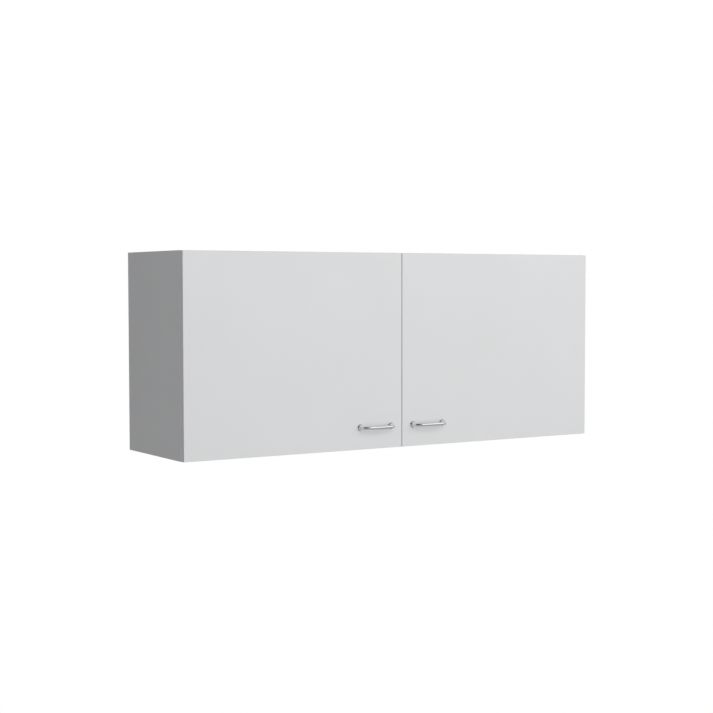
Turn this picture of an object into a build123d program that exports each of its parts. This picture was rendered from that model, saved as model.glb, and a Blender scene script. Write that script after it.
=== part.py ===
from build123d import *
from math import atan2, degrees, hypot
import os

os.makedirs("parts", exist_ok=True)

# All sizes are in millimetres. +X runs to the right along the front, +Y runs into the wall, +Z is up.
# The origin is on the wall face, at the middle of the four wall screws.
# FIT is the radial clearance of a bore, and OVER is how far a cut runs past the face that it opens.

# Cabinet
WIDTH = 1200.0
HEIGHT = 485.0
DEPTH = 310.0
BOARD = 15.0
MOUNT_DROP = 55.0
EDGE_ROUND = 0.5
FIT = 0.05
OVER = 1.0

# Doors
DOOR_GAP = 1.2
REVEAL = 0.5
CENTRE_GAP = 2.0
BUFFER_RADIUS = 4.0
BUFFER_THICK = 1.0
BUFFER_INSET = 40.0

# Back panel and its grooves
BACK_THICK = 3.0
BACK_RECESS = 16.0
GROOVE_PLAY = 0.1
GROOVE_DEPTH = 6.0
BACK_IN_GROOVE = 5.5

# Knock-down fittings
CAM_RADIUS = 7.5
CAM_BORE_DEPTH = 13.0
CAM_CAP = 1.0
CAM_PLAY = 0.3
CAM_SLOT_HALF = (5.0, 1.0)
CAM_SLOT_DEPTH = 2.0
CAM_SETBACK = 34.0
CAM_INSET = 60.0
DOWEL_RADIUS = 4.0
DOWEL_IN_FACE = 9.0
DOWEL_IN_END = 21.0
DOWEL_INSET = 92.0
BOLT_THREAD = 11.0
BOLT_THREAD_RADIUS = 2.5
BOLT_SHANK_RADIUS = 3.0
BOLT_NECK_RADIUS = 2.0
BOLT_HEAD_RADIUS = 3.4
BOLT_HEAD = 2.5
BOLT_BORE_RADIUS = 4.0
JOINT_SCREW_HEAD_RADIUS = 5.0
JOINT_SCREW_HEAD = 3.0
JOINT_SCREW_SHANK_RADIUS = 3.5
JOINT_SCREW_THREAD_RADIUS = 2.5
JOINT_SCREW_LENGTH = 50.0
JOINT_SCREW_INSETS = (55.0, 220.0)
JOINT_SCREW_SOCKET = (2.0, 2.4)
JOINT_DOWEL_INSET = 137.0

# Shelves
SHELF_PLAY = 1.0
SHELF_DEPTH = 250.0
SHELF_UNDERSIDE = -195.0
PIN_RADIUS = 2.5
PIN_LENGTH = 6.0
PIN_HOLE_DEPTH = 6.5
PIN_PLATFORM = (9.0, 8.0, 3.0)
PIN_PITCH = 32.0
PIN_STEPS = (-2, -1, 0, 1, 2)
PIN_INSET = 37.0

# Handles
HANDLE_SPACING = 90.0
HANDLE_FROM_CENTRE = 33.0
HANDLE_RISE = 55.0
HANDLE_BAR_RADIUS = 4.0
HANDLE_REACH = 25.0
HANDLE_BEND = 18.5
FOOT_RADIUS = 8.4
FOOT_RIM = 1.5
FOOT_HEIGHT = 6.0
FOOT_NECK = 1.2
FOOT_LEAN = (-1.0, 0.1)
HANDLE_SCREW_RADIUS = 2.0
HANDLE_SCREW_BITE = 6.0
PAN_HEAD_RADIUS = 4.0
PAN_HEAD = 2.4
HEAD_ROUND = 0.6
CROSS_SLOT = (3.2, 0.8, 1.0)

# Cup hinges. u runs inwards from the outer face of the side panel and v runs forwards from its front edge.
HINGE_FROM_END = 95.0
CUP_RADIUS = 17.5
CUP_DEPTH = 11.8
CUP_BORE_DEPTH = 12.0
CUP_FROM_EDGE = 20.5
CUP_WALL = 0.8
CUP_FLOOR = 0.6
CUP_FLANGE = 0.8
CUP_FLANGE_RADIUS = 19.0
CUP_POCKET_HALF = 9.6
CUP_NOTCH_U = (1.5, 7.0)
CUP_NOTCH_Z = (6.0, 8.0)
CUP_NOTCH_DEPTH = 0.5
CUP_SCREW_SPACING = 48.0
CUP_SCREW_OFFSET = 6.0
CUP_SCREW_WING = 5.5
CUP_SCREW_LENGTH = 11.0
CUP_SCREW_RADIUS = 1.75
CUP_SCREW_HEAD_RADIUS = 3.4
CUP_SCREW_HEAD = 1.5
ARM_PIVOT_OUTER = (37.5, -17.088)
ARM_PIVOT_INNER = (31.599, 8.101)
CUP_PIVOT_OUTER = (9.778, 5.88)
CUP_PIVOT_INNER = (13.509, 9.208)
OUTER_LINK_APEX = (15.58, 6.8)
INNER_LINK_APEX = (20.12, 10.73)
PIVOT_RADIUS = 1.0
PIVOT_PLAY = 0.06
LINK_HALF = 1.5
LINK_EYE = 2.2
LINK_CHEEK = (6.2, 7.8)
INNER_LINK_HALF = 5.4
OPEN_EYE = (2.55, 3.05)
OPEN_EYE_HOLE = (2.1, 2.6)
OPEN_EYE_SHIFT = (0.15, -0.2)
ARM_FLANGE = (8.0, 9.2)
ARM_NECK = (33.0, -20.0)
ARM_HEEL = (20.4, -30.0)
ARM_TAIL = (20.4, -59.0)
ARM_NOSE_HALF = 2.3
ARM_HALF = 3.2
ARM_WEB = 1.2
ARM_WEB_FRONT = -28.0
ARM_PIN_HALF = 9.2
CUP_PIN_HALF = 12.5
CUP_PIN_STUB = 5.7
PLATE_FOOT = 2.0
PLATE_CORNER = 3.0
PLATE_LONG = (12.0, 62.0)
PLATE_BLOCK = 7.4
PLATE_HALF = 6.5
PLATE_WING = 26.0
PLATE_LINE = 37.0
PLATE_WING_HALF = 7.0
PLATE_SCREW_SPACING = 32.0
PLATE_SCREW_RADIUS = 2.5
PLATE_SCREW_HEAD_RADIUS = 4.2
PLATE_SCREW_HEAD = 1.6
PLATE_SCREW_LENGTH = 12.0
ARM_SCREW_LINES = (36.0, 54.0)
ARM_SCREW_RADIUS = 2.5
ARM_SCREW_HEAD_RADIUS = 4.0
ARM_SCREW_HEAD = 1.6
ARM_SCREW_BITE = 4.0

# Hangers
HOUSING = (18.0, 62.0, 48.0)
HOUSING_WALL = 5.0
HOUSING_FRONT = 7.0
HOUSING_FLOOR = 8.0
HOUSING_ROOF = 1.0
HOUSING_ROUND = 2.0
HOUSING_PEG_RADIUS = 5.0
HOUSING_PEG_LENGTH = 11.0
HOUSING_PEGS = ((-33.0, 28.0), (-67.0, 2.0))
HOOK_THICK = 4.0
HOOK_TOP_GAP = 1.5
HOOK_ARM_DROP = 18.0
HOOK_OVER_LIP = 6.0
HOOK_TOOTH_DROP = 15.5
HOOK_NECK = -7.5
HOOK_PLAY = 0.4
HOOK_LUG_HALF = 6.0
HOOK_FRONT = -66.0
HOOK_LUG = (7.2, 7.0)
HOOK_HEEL = (-40.0, -31.0)
HANGER_SCREW_RADIUS = 3.0
HANGER_SCREW_HEAD_RADIUS = 4.5
HANGER_SCREW_HEAD = 3.0
DEPTH_SCREW_DROP = 11.0
HEIGHT_SCREW_DROP = 30.0
WALL_PLATE_WIDTH = 60.0
WALL_PLATE_THICK = 2.0
WALL_PLATE_X = 554.0
WALL_PLATE_BOTTOM = -18.0
WALL_LIP_TOP = 32.0
WALL_LIP_BOTTOM = 20.0
WALL_LIP_OUT = 5.0
WALL_STEP_FROM = 15.0
WALL_SCREW_RADIUS = 3.25
WALL_SCREW_RISE = 20.0
HOOK_WINDOW = ((-7.0, 7.0), (12.0, 39.5))

# Places worked out from the sizes above
HALF = WIDTH / 2
INSIDE = HALF - BOARD
TOP = MOUNT_DROP
BOTTOM = MOUNT_DROP - HEIGHT
CEILING = TOP - BOARD
FLOOR = BOTTOM + BOARD
CARCASS_FRONT = -(DEPTH - BOARD - DOOR_GAP)
DOOR_BACK = CARCASS_FRONT - DOOR_GAP
DOOR_FRONT = -DEPTH
BACK_FACE = -BACK_RECESS - BACK_THICK
GROOVE = (BACK_FACE - GROOVE_PLAY, -BACK_RECESS + GROOVE_PLAY)
TOP_JOINT = CEILING + BOARD / 2
BOTTOM_JOINT = FLOOR - BOARD / 2
CAM_LINES = (-CAM_INSET, CARCASS_FRONT + CAM_INSET)
DOWEL_LINES = (-DOWEL_INSET, CARCASS_FRONT + DOWEL_INSET)
PIN_LINES = (CARCASS_FRONT + PIN_INSET, BACK_FACE - PIN_INSET)
PIN_LEVEL = SHELF_UNDERSIDE - PIN_RADIUS
PIN_LEVELS = [PIN_LEVEL + step * PIN_PITCH for step in PIN_STEPS]
DOOR_BOTTOM = BOTTOM + REVEAL
DOOR_TOP = TOP - REVEAL
HINGE_LEVELS = {"lower": DOOR_BOTTOM + HINGE_FROM_END, "upper": DOOR_TOP - HINGE_FROM_END}
HANDLE_LEVEL = BOTTOM + HANDLE_RISE
PLATE_SCREW_HEIGHTS = (-PLATE_SCREW_SPACING / 2, PLATE_SCREW_SPACING / 2)
HANGER_X = INSIDE - HOUSING[0] / 2
HOUSING_Y = (BACK_FACE - HOUSING[1], BACK_FACE)
DEPTH_SCREW_Z = CEILING - DEPTH_SCREW_DROP
HEIGHT_SCREW_Z = CEILING - HEIGHT_SCREW_DROP
SIDES = {"left": -1, "right": 1}


# Small helpers


def block(x, y, z):
    """A box between three pairs of limits."""
    spans = (x, y, z)
    middle = [sum(span) / 2 for span in spans]
    return Pos(*middle) * Box(*[abs(span[1] - span[0]) for span in spans])


def rod(start, along, radius, length):
    """A cylinder that starts at a point and runs along a direction."""
    frame = Plane(origin=start, z_dir=along)
    base = (Align.CENTER, Align.CENTER, Align.MIN)
    return frame.location * Cylinder(radius, length, align=base)


def mirrored(shape, side):
    """A piece that is drawn on the left, put on the asked side."""
    return mirror(shape, about=Plane.YZ) if side > 0 else shape


def save(name, *shapes):
    """One node is one STEP file, with one or more separate solids."""
    solids = [solid for shape in shapes for solid in shape.solids()]
    export_step(solids[0] if len(solids) == 1 else Compound(solids), f"parts/{name}.step")


def front_rounded(board, along=None):
    """The banded front edges of a board have a small round, all four or only those along one axis."""
    edges = board.faces().sort_by(Axis.Y)[0].edges()
    return fillet(edges.filter_by(along) if along else edges, EDGE_ROUND)


def cross_slot(face, inward):
    """A cross recess at the middle of a screw head."""
    long, wide, deep = CROSS_SLOT
    slot = Box(long, wide, deep * 2) + Box(wide, long, deep * 2)
    return Plane(origin=face, z_dir=inward).location * slot


def pan_screw(seat, inward, head, shank):
    """A screw whose head sits on a seat. head and shank are each a radius and a length."""
    out = Vector(*inward) * -1
    top = Vector(*seat) + out * head[1]
    cap = rod(seat, out, *head)
    cap = fillet(cap.faces().sort_by(Axis(seat, out))[-1].edges(), HEAD_ROUND)
    return cap + rod(seat, inward, *shank) - cross_slot(top, inward)


# Carcass boards


def side_panel(side):
    """A full-height side, bored on its inner face only."""
    panel = block((side * INSIDE, side * HALF), (CARCASS_FRONT, 0), (BOTTOM, TOP))
    panel = front_rounded(panel)
    outward = (side, 0, 0)
    groove_z = (FLOOR - GROOVE_DEPTH, CEILING + GROOVE_DEPTH)
    cuts = [block((side * (INSIDE - OVER), side * (INSIDE + GROOVE_DEPTH)), GROOVE, groove_z)]

    def bore(y, z, radius, depth):
        cuts.append(rod((side * (INSIDE - OVER), y, z), outward, radius, depth + OVER))

    for z in (TOP_JOINT, BOTTOM_JOINT):
        for y in CAM_LINES:
            bore(y, z, BOLT_THREAD_RADIUS + FIT, BOLT_THREAD + FIT)
        for y in DOWEL_LINES:
            bore(y, z, DOWEL_RADIUS + FIT, DOWEL_IN_FACE + FIT)
    for y in PIN_LINES:
        for z in PIN_LEVELS:
            bore(y, z, PIN_RADIUS + FIT, PIN_HOLE_DEPTH)
    for level in HINGE_LEVELS.values():
        for z in PLATE_SCREW_HEIGHTS:
            bore(CARCASS_FRONT + PLATE_LINE, level + z, PLATE_SCREW_RADIUS + FIT, PLATE_SCREW_LENGTH + FIT)
    for y, z in HOUSING_PEGS:
        bore(y, z, HOUSING_PEG_RADIUS + FIT, HOUSING_PEG_LENGTH + FIT)
    return panel - cuts


def end_bores(z):
    """Bores in both ends of the top or bottom panel for cam bolts and dowels."""
    cuts = []
    for side in SIDES.values():
        inward = (-side, 0, 0)
        for y in CAM_LINES:
            cuts.append(rod((side * (INSIDE + OVER), y, z), inward, BOLT_BORE_RADIUS, CAM_SETBACK + OVER))
        for y in DOWEL_LINES:
            start = (side * (INSIDE + OVER), y, z)
            cuts.append(rod(start, inward, DOWEL_RADIUS + FIT, DOWEL_IN_END + OVER + FIT))
    return cuts


def level_panel(inner_face, up):
    """The top or bottom panel. up is +1 where its inner face looks up, and -1 where it looks down."""
    outer_face = inner_face - up * BOARD
    panel = block((-INSIDE, INSIDE), (CARCASS_FRONT, 0), (inner_face, outer_face))
    panel = front_rounded(panel, Axis.X)
    upper_face = max(inner_face, outer_face)
    cuts = end_bores(upper_face - BOARD / 2)
    groove_z = (inner_face + up * OVER, inner_face - up * GROOVE_DEPTH)
    cuts.append(block((-INSIDE - OVER, INSIDE + OVER), GROOVE, groove_z))
    for side in SIDES.values():
        for y in CAM_LINES:
            mouth = (side * (INSIDE - CAM_SETBACK), y, upper_face + OVER)
            cuts.append(rod(mouth, (0, 0, -1), CAM_RADIUS + FIT, CAM_BORE_DEPTH + OVER))
    for inset in JOINT_SCREW_INSETS:
        mouth = (0, CARCASS_FRONT + inset, outer_face - up * OVER)
        cuts.append(rod(mouth, (0, 0, up), JOINT_SCREW_HEAD_RADIUS + FIT, JOINT_SCREW_HEAD + OVER))
        cuts.append(rod(mouth, (0, 0, up), JOINT_SCREW_SHANK_RADIUS + FIT, BOARD + 2 * OVER))
    dowel = (0, CARCASS_FRONT + JOINT_DOWEL_INSET, inner_face + up * OVER)
    cuts.append(rod(dowel, (0, 0, -up), DOWEL_RADIUS + FIT, DOWEL_IN_FACE + OVER + FIT))
    return panel - cuts


def centre_partition():
    """The upright board between the two compartments, in front of the back panel."""
    rear = BACK_FACE - GROOVE_PLAY
    board = block((-BOARD / 2, BOARD / 2), (CARCASS_FRONT, rear), (FLOOR, CEILING))
    board = front_rounded(board, Axis.Z)
    cuts = []
    for side in SIDES.values():
        for y in PIN_LINES:
            for z in PIN_LEVELS:
                start = (side * (BOARD / 2 + OVER), y, z)
                cuts.append(rod(start, (-side, 0, 0), PIN_RADIUS + FIT, PIN_HOLE_DEPTH + OVER))
    for end, up in ((FLOOR, 1), (CEILING, -1)):
        for inset in JOINT_SCREW_INSETS:
            start = (0, CARCASS_FRONT + inset, end - up * OVER)
            depth = JOINT_SCREW_LENGTH - BOARD + 2 * OVER
            cuts.append(rod(start, (0, 0, up), JOINT_SCREW_THREAD_RADIUS + FIT, depth))
        start = (0, CARCASS_FRONT + JOINT_DOWEL_INSET, end - up * OVER)
        cuts.append(rod(start, (0, 0, up), DOWEL_RADIUS + FIT, DOWEL_IN_END + OVER + FIT))
    return board - cuts


def back_panel():
    """A thin sheet held in the grooves, with a window for each hanger hook."""
    across = INSIDE + BACK_IN_GROOVE
    upright = (FLOOR - BACK_IN_GROOVE, CEILING + BACK_IN_GROOVE)
    sheet = block((-across, across), (BACK_FACE, -BACK_RECESS), upright)
    (low_x, high_x), window_z = HOOK_WINDOW
    for side in SIDES.values():
        window_x = (side * HANGER_X + low_x, side * HANGER_X + high_x)
        sheet -= block(window_x, (BACK_FACE - OVER, -BACK_RECESS + OVER), window_z)
    return sheet


def shelf(side):
    """A loose shelf that rests on four pins."""
    x = (side * (BOARD / 2 + SHELF_PLAY), side * (INSIDE - SHELF_PLAY))
    rear = BACK_FACE - SHELF_PLAY
    board = block(x, (rear - SHELF_DEPTH, rear), (SHELF_UNDERSIDE, SHELF_UNDERSIDE + BOARD))
    return front_rounded(board)


# Fittings


def shelf_pins():
    """Each pin is a peg in the board with a flat platform under the shelf."""
    long, wide, thick = PIN_PLATFORM
    pins = []
    for side in SIDES.values():
        for wall, inward in ((side * INSIDE, -side), (side * BOARD / 2, side)):
            for y in PIN_LINES:
                peg = rod((wall, y, PIN_LEVEL), (-inward, 0, 0), PIN_RADIUS, PIN_LENGTH)
                platform_z = (SHELF_UNDERSIDE - thick, SHELF_UNDERSIDE)
                platform = block((wall, wall + inward * long), (y - wide / 2, y + wide / 2), platform_z)
                pins.append(peg + platform)
    return pins


def dowels():
    """Plain wooden dowels between the sides and the top and bottom, and at both ends of the partition."""
    length = DOWEL_IN_FACE + DOWEL_IN_END
    pegs = []
    for side in SIDES.values():
        for z in (TOP_JOINT, BOTTOM_JOINT):
            for y in DOWEL_LINES:
                start = (side * (INSIDE + DOWEL_IN_FACE), y, z)
                pegs.append(rod(start, (-side, 0, 0), DOWEL_RADIUS, length))
    for face, up in ((FLOOR, 1), (CEILING, -1)):
        start = (0, CARCASS_FRONT + JOINT_DOWEL_INSET, face - up * DOWEL_IN_FACE)
        pegs.append(rod(start, (0, 0, up), DOWEL_RADIUS, length))
    return pegs


def cam_bolt(side, y, z):
    """A bolt in the side panel, whose head the cam pulls on."""
    inward = (-side, 0, 0)

    def at(distance):
        return (side * (INSIDE - distance), y, z)

    neck_from = CAM_SETBACK - CAM_RADIUS
    head_from = CAM_SETBACK - BOLT_HEAD / 2
    bolt = rod(at(-BOLT_THREAD), inward, BOLT_THREAD_RADIUS, BOLT_THREAD)
    bolt += rod(at(0), inward, BOLT_SHANK_RADIUS, neck_from)
    bolt += rod(at(neck_from), inward, BOLT_NECK_RADIUS, head_from - neck_from)
    return bolt + rod(at(head_from), inward, BOLT_HEAD_RADIUS, BOLT_HEAD)


def cam(side, y, mouth, z):
    """A cam with a driver slot and a hollow for the bolt's head."""
    x = side * (INSIDE - CAM_SETBACK)
    face = mouth - CAM_CAP
    body = rod((x, y, face), (0, 0, -1), CAM_RADIUS, CAM_BORE_DEPTH - CAM_CAP)
    body -= rod((x - side * BOLT_HEAD, y, z), (side, 0, 0), BOLT_HEAD_RADIUS + CAM_PLAY, CAM_RADIUS * 2)
    long, wide = CAM_SLOT_HALF
    return body - block((x - long, x + long), (y - wide, y + wide), (face - CAM_SLOT_DEPTH, face + OVER))


def cam_joints():
    """The cams, their bolts and their cover caps at all four corners."""
    bolts, cams, caps = [], [], []
    for mouth, z in ((TOP, TOP_JOINT), (FLOOR, BOTTOM_JOINT)):
        for side in SIDES.values():
            for y in CAM_LINES:
                bolts.append(cam_bolt(side, y, z))
                cams.append(cam(side, y, mouth, z))
                face = (side * (INSIDE - CAM_SETBACK), y, mouth - CAM_CAP)
                caps.append(rod(face, (0, 0, 1), CAM_RADIUS, CAM_CAP))
    return bolts, cams, caps


def joint_screws():
    """Long screws through the top and bottom panels into the partition."""
    screws = []
    for outer, up in ((BOTTOM, 1), (TOP, -1)):
        for inset in JOINT_SCREW_INSETS:
            start = (0, CARCASS_FRONT + inset, outer)
            screw = rod(start, (0, 0, up), JOINT_SCREW_HEAD_RADIUS, JOINT_SCREW_HEAD)
            screw += rod(start, (0, 0, up), JOINT_SCREW_SHANK_RADIUS, BOARD)
            screw += rod(start, (0, 0, up), JOINT_SCREW_THREAD_RADIUS, JOINT_SCREW_LENGTH)
            socket = Plane(origin=start, z_dir=(0, 0, up)) * RegularPolygon(JOINT_SCREW_SOCKET[0], 6)
            screws.append(screw - extrude(socket, JOINT_SCREW_SOCKET[1]))
    return screws


# Doors and handles


def door_span(side):
    """The two ends of a door along X, from the middle outwards."""
    return side * CENTRE_GAP / 2, side * (HALF - REVEAL)


def cup_place(side, level):
    """The middle of a hinge cup on the door's back face."""
    return side * (HALF - REVEAL - CUP_FROM_EDGE), DOOR_BACK, level


def cup_screw_places(side, level):
    """The two screws of a cup, on the door's back face."""
    x = cup_place(side, level)[0] - side * CUP_SCREW_OFFSET
    return [(x, DOOR_BACK, level + half * CUP_SCREW_SPACING / 2) for half in (-1, 1)]


def handle_feet(side):
    """Where the two feet of a handle stand along X."""
    return [side * HANDLE_FROM_CENTRE, side * (HANDLE_FROM_CENTRE + HANDLE_SPACING)]


def door(side):
    """A plain slab over the whole front, bored at the back for hinge cups and screws."""
    slab = block(door_span(side), (DOOR_FRONT, DOOR_BACK), (DOOR_BOTTOM, DOOR_TOP))
    slab = front_rounded(slab)
    cuts = []
    for level in HINGE_LEVELS.values():
        x, y, z = cup_place(side, level)
        cuts.append(rod((x, y + OVER, z), (0, -1, 0), CUP_RADIUS + FIT, CUP_BORE_DEPTH + OVER))
        for x, y, z in cup_screw_places(side, level):
            cuts.append(rod((x, y + OVER, z), (0, -1, 0), CUP_SCREW_RADIUS + FIT, CUP_SCREW_LENGTH + OVER))
        cuts += on_hinges(link_notches(), [(side, level)])
    for x in handle_feet(side):
        start = (x, DOOR_BACK + OVER, HANDLE_LEVEL)
        cuts.append(rod(start, (0, -1, 0), HANDLE_SCREW_RADIUS + FIT, BOARD + 2 * OVER))
    return slab - cuts


def door_buffers(side):
    """Thin round buffers on the door's back, at the free top and bottom corners."""
    x = side * BUFFER_INSET
    return [
        rod((x, DOOR_BACK, z), (0, 1, 0), BUFFER_RADIUS, BUFFER_THICK) for z in (TOP_JOINT, BOTTOM_JOINT)
    ]


def handle_bar(side):
    """A round bow bar with a tapped hole in each leg."""
    inner, outer = handle_feet(side)
    reach = DOOR_FRONT - HANDLE_REACH
    plan = ((inner, DOOR_FRONT), (inner, reach), (outer, reach), (outer, DOOR_FRONT))
    corners = [(x, y, HANDLE_LEVEL) for x, y in plan]
    path = FilletPolyline(*corners, radius=HANDLE_BEND)
    bar = sweep(Plane(origin=corners[0], z_dir=(0, -1, 0)) * Circle(HANDLE_BAR_RADIUS), path)
    for x in (inner, outer):
        start = (x, DOOR_FRONT + OVER, HANDLE_LEVEL)
        bar -= rod(start, (0, -1, 0), HANDLE_SCREW_RADIUS + FIT, HANDLE_SCREW_BITE + 2 * OVER)
    return bar


def handle_foot(x):
    """A flared round foot that the bar's leg stands in."""
    neck = HANDLE_BAR_RADIUS + FOOT_NECK
    bore = HANDLE_BAR_RADIUS + FIT
    with BuildSketch(Plane.XZ) as section:
        with BuildLine():
            Polyline((bore, 0), (FOOT_RADIUS, 0), (FOOT_RADIUS, FOOT_RIM))
            TangentArc((FOOT_RADIUS, FOOT_RIM), (neck, FOOT_HEIGHT), tangent=FOOT_LEAN)
            Polyline((neck, FOOT_HEIGHT), (bore, FOOT_HEIGHT), (bore, 0))
        make_face()
    foot = revolve(section.sketch, Axis.Z)
    return Plane(origin=(x, DOOR_FRONT, HANDLE_LEVEL), z_dir=(0, -1, 0)).location * foot


def handle_screws(side):
    """Pan-head screws from inside the door into the bar's legs."""
    head = (PAN_HEAD_RADIUS, PAN_HEAD)
    shank = (HANDLE_SCREW_RADIUS, BOARD + HANDLE_SCREW_BITE)
    return [pan_screw((x, DOOR_BACK, HANDLE_LEVEL), (0, -1, 0), head, shank) for x in handle_feet(side)]


# Cup hinges, drawn for the left side at height zero


def place(u, v):
    """A point of the hinge plan, as X and Y."""
    return -HALF + u, CARCASS_FRONT - v


def slab(sketch, low, high):
    """A plan outline between two heights."""
    return extrude(Pos(0, 0, low) * sketch, high - low)


def disc(point, radius):
    """A round plan outline about a hinge point."""
    return Pos(*place(*point)) * Circle(radius)


def strip(points, half):
    """A plan outline of even width with round ends, along a run of hinge points."""
    outline = None
    for start, end in zip(points, points[1:]):
        (x0, y0), (x1, y1) = place(*start), place(*end)
        angle = degrees(atan2(y1 - y0, x1 - x0))
        centre = Pos((x0 + x1) / 2, (y0 + y1) / 2)
        run = centre * Rot(0, 0, angle) * SlotCenterToCenter(hypot(x1 - x0, y1 - y0), 2 * half)
        outline = run if outline is None else outline + run
    return outline


def open_eye(sizes):
    """A long round-ended outline at the cup's inner pivot, across the length of the inner link."""
    (x0, y0), (x1, y1) = place(*CUP_PIVOT_INNER), place(*ARM_PIVOT_INNER)
    half, reach = sizes
    turn = degrees(atan2(y1 - y0, x1 - x0)) + 90
    return Pos(x0, y0) * Rot(0, 0, turn) * Pos(*OPEN_EYE_SHIFT) * SlotOverall(2 * reach, 2 * half)


def both_ways(sketch, low, high):
    """The same plate above and below the middle of the hinge."""
    return slab(sketch, low, high) + slab(sketch, -high, -low)


def pivot_pin(point, half_length):
    """A plain pin through the hinge, on its pivot."""
    return slab(disc(point, PIVOT_RADIUS), -half_length, half_length)


def outer_link():
    """Two cheeks joined by a sleeve round the arm's pin."""
    outline = strip((ARM_PIVOT_OUTER, OUTER_LINK_APEX, CUP_PIVOT_OUTER), LINK_HALF)
    outline += [disc(ARM_PIVOT_OUTER, LINK_EYE), disc(CUP_PIVOT_OUTER, LINK_EYE)]
    link = both_ways(outline, *LINK_CHEEK)
    link += slab(disc(ARM_PIVOT_OUTER, LINK_EYE), -LINK_CHEEK[0], LINK_CHEEK[0])
    hole = PIVOT_RADIUS + PIVOT_PLAY
    holes = disc(ARM_PIVOT_OUTER, hole) + disc(CUP_PIVOT_OUTER, hole)
    return link - slab(holes, -LINK_CHEEK[1] - OVER, LINK_CHEEK[1] + OVER)


def inner_link():
    """One solid link, close on the arm's pin and with a long open eye on the cup's pin."""
    outline = strip((ARM_PIVOT_INNER, INNER_LINK_APEX, CUP_PIVOT_INNER), LINK_HALF)
    outline += [disc(ARM_PIVOT_INNER, LINK_EYE), open_eye(OPEN_EYE)]
    outline -= [disc(ARM_PIVOT_INNER, PIVOT_RADIUS + PIVOT_PLAY), open_eye(OPEN_EYE_HOLE)]
    return slab(outline, -INNER_LINK_HALF, INNER_LINK_HALF)


def hinge_arm():
    """A channel over the mounting plate, with a nose that holds the two fixed pins."""
    outline = strip((ARM_TAIL, ARM_HEEL), ARM_HALF)
    outline += strip((ARM_HEEL, ARM_NECK, ARM_PIVOT_INNER), ARM_NOSE_HALF)
    outline += strip((ARM_NECK, ARM_PIVOT_OUTER), ARM_NOSE_HALF)
    arm = both_ways(outline, *ARM_FLANGE)
    web = place(*ARM_TAIL)[0] + ARM_HALF
    web_y = (CARCASS_FRONT - ARM_WEB_FRONT, place(*ARM_TAIL)[1])
    arm += block((web - ARM_WEB, web), web_y, (-ARM_FLANGE[1], ARM_FLANGE[1]))
    holes = disc(ARM_PIVOT_OUTER, PIVOT_RADIUS + FIT / 2) + disc(ARM_PIVOT_INNER, PIVOT_RADIUS + FIT / 2)
    arm -= slab(holes, -ARM_FLANGE[1] - OVER, ARM_FLANGE[1] + OVER)
    for line in ARM_SCREW_LINES:
        start = (web + OVER, CARCASS_FRONT + line, 0)
        arm -= rod(start, (-1, 0, 0), ARM_SCREW_RADIUS + FIT, ARM_WEB + 2 * OVER)
    return arm


def mounting_plate():
    """A cross-shaped foot on the side panel with a raised block that the arm sits on."""
    face = -INSIDE
    long_y = [CARCASS_FRONT + distance for distance in PLATE_LONG]
    wing_y = [CARCASS_FRONT + PLATE_LINE + way * PLATE_WING_HALF for way in (-1, 1)]
    plate = block((face, face + PLATE_FOOT), long_y, (-PLATE_HALF, PLATE_HALF))
    plate += block((face, face + PLATE_FOOT), wing_y, (-PLATE_WING, PLATE_WING))
    plate = fillet(plate.edges().filter_by(Axis.X), PLATE_CORNER)
    plate += block((face, face + PLATE_BLOCK), long_y, (-PLATE_HALF, PLATE_HALF))
    for z in PLATE_SCREW_HEIGHTS:
        start = (face + PLATE_FOOT + OVER, CARCASS_FRONT + PLATE_LINE, z)
        plate -= rod(start, (-1, 0, 0), PLATE_SCREW_RADIUS + FIT, PLATE_FOOT + 2 * OVER)
    for line in ARM_SCREW_LINES:
        start = (face + PLATE_BLOCK + OVER, CARCASS_FRONT + line, 0)
        plate -= rod(start, (-1, 0, 0), ARM_SCREW_RADIUS + FIT, ARM_SCREW_BITE + OVER + FIT)
    return plate


def plate_screws():
    """Two system screws that hold the plate to the side panel."""
    head = (PLATE_SCREW_HEAD_RADIUS, PLATE_SCREW_HEAD)
    shank = (PLATE_SCREW_RADIUS, PLATE_SCREW_LENGTH + PLATE_FOOT)
    seats = [(-INSIDE + PLATE_FOOT, CARCASS_FRONT + PLATE_LINE, z) for z in PLATE_SCREW_HEIGHTS]
    return [pan_screw(seat, (-1, 0, 0), head, shank) for seat in seats]


def arm_screws():
    """The adjusting screw and the clamping screw that hold the arm on its plate."""
    web = place(*ARM_TAIL)[0] + ARM_HALF
    block_face = -INSIDE + PLATE_BLOCK
    head = (ARM_SCREW_HEAD_RADIUS, ARM_SCREW_HEAD)
    shank = (ARM_SCREW_RADIUS, web - block_face + ARM_SCREW_BITE)
    return [pan_screw((web, CARCASS_FRONT + line, 0), (-1, 0, 0), head, shank) for line in ARM_SCREW_LINES]


def link_notches():
    """Shallow reliefs in the cup's rim and the door, for the outer link's cheeks when the door is open."""
    notch_x = [place(distance, 0)[0] for distance in CUP_NOTCH_U]
    notch_y = (DOOR_BACK - CUP_NOTCH_DEPTH, DOOR_BACK + CUP_FLANGE + OVER)
    return [block(notch_x, notch_y, [way * z for z in CUP_NOTCH_Z]) for way in (-1, 1)]


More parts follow.
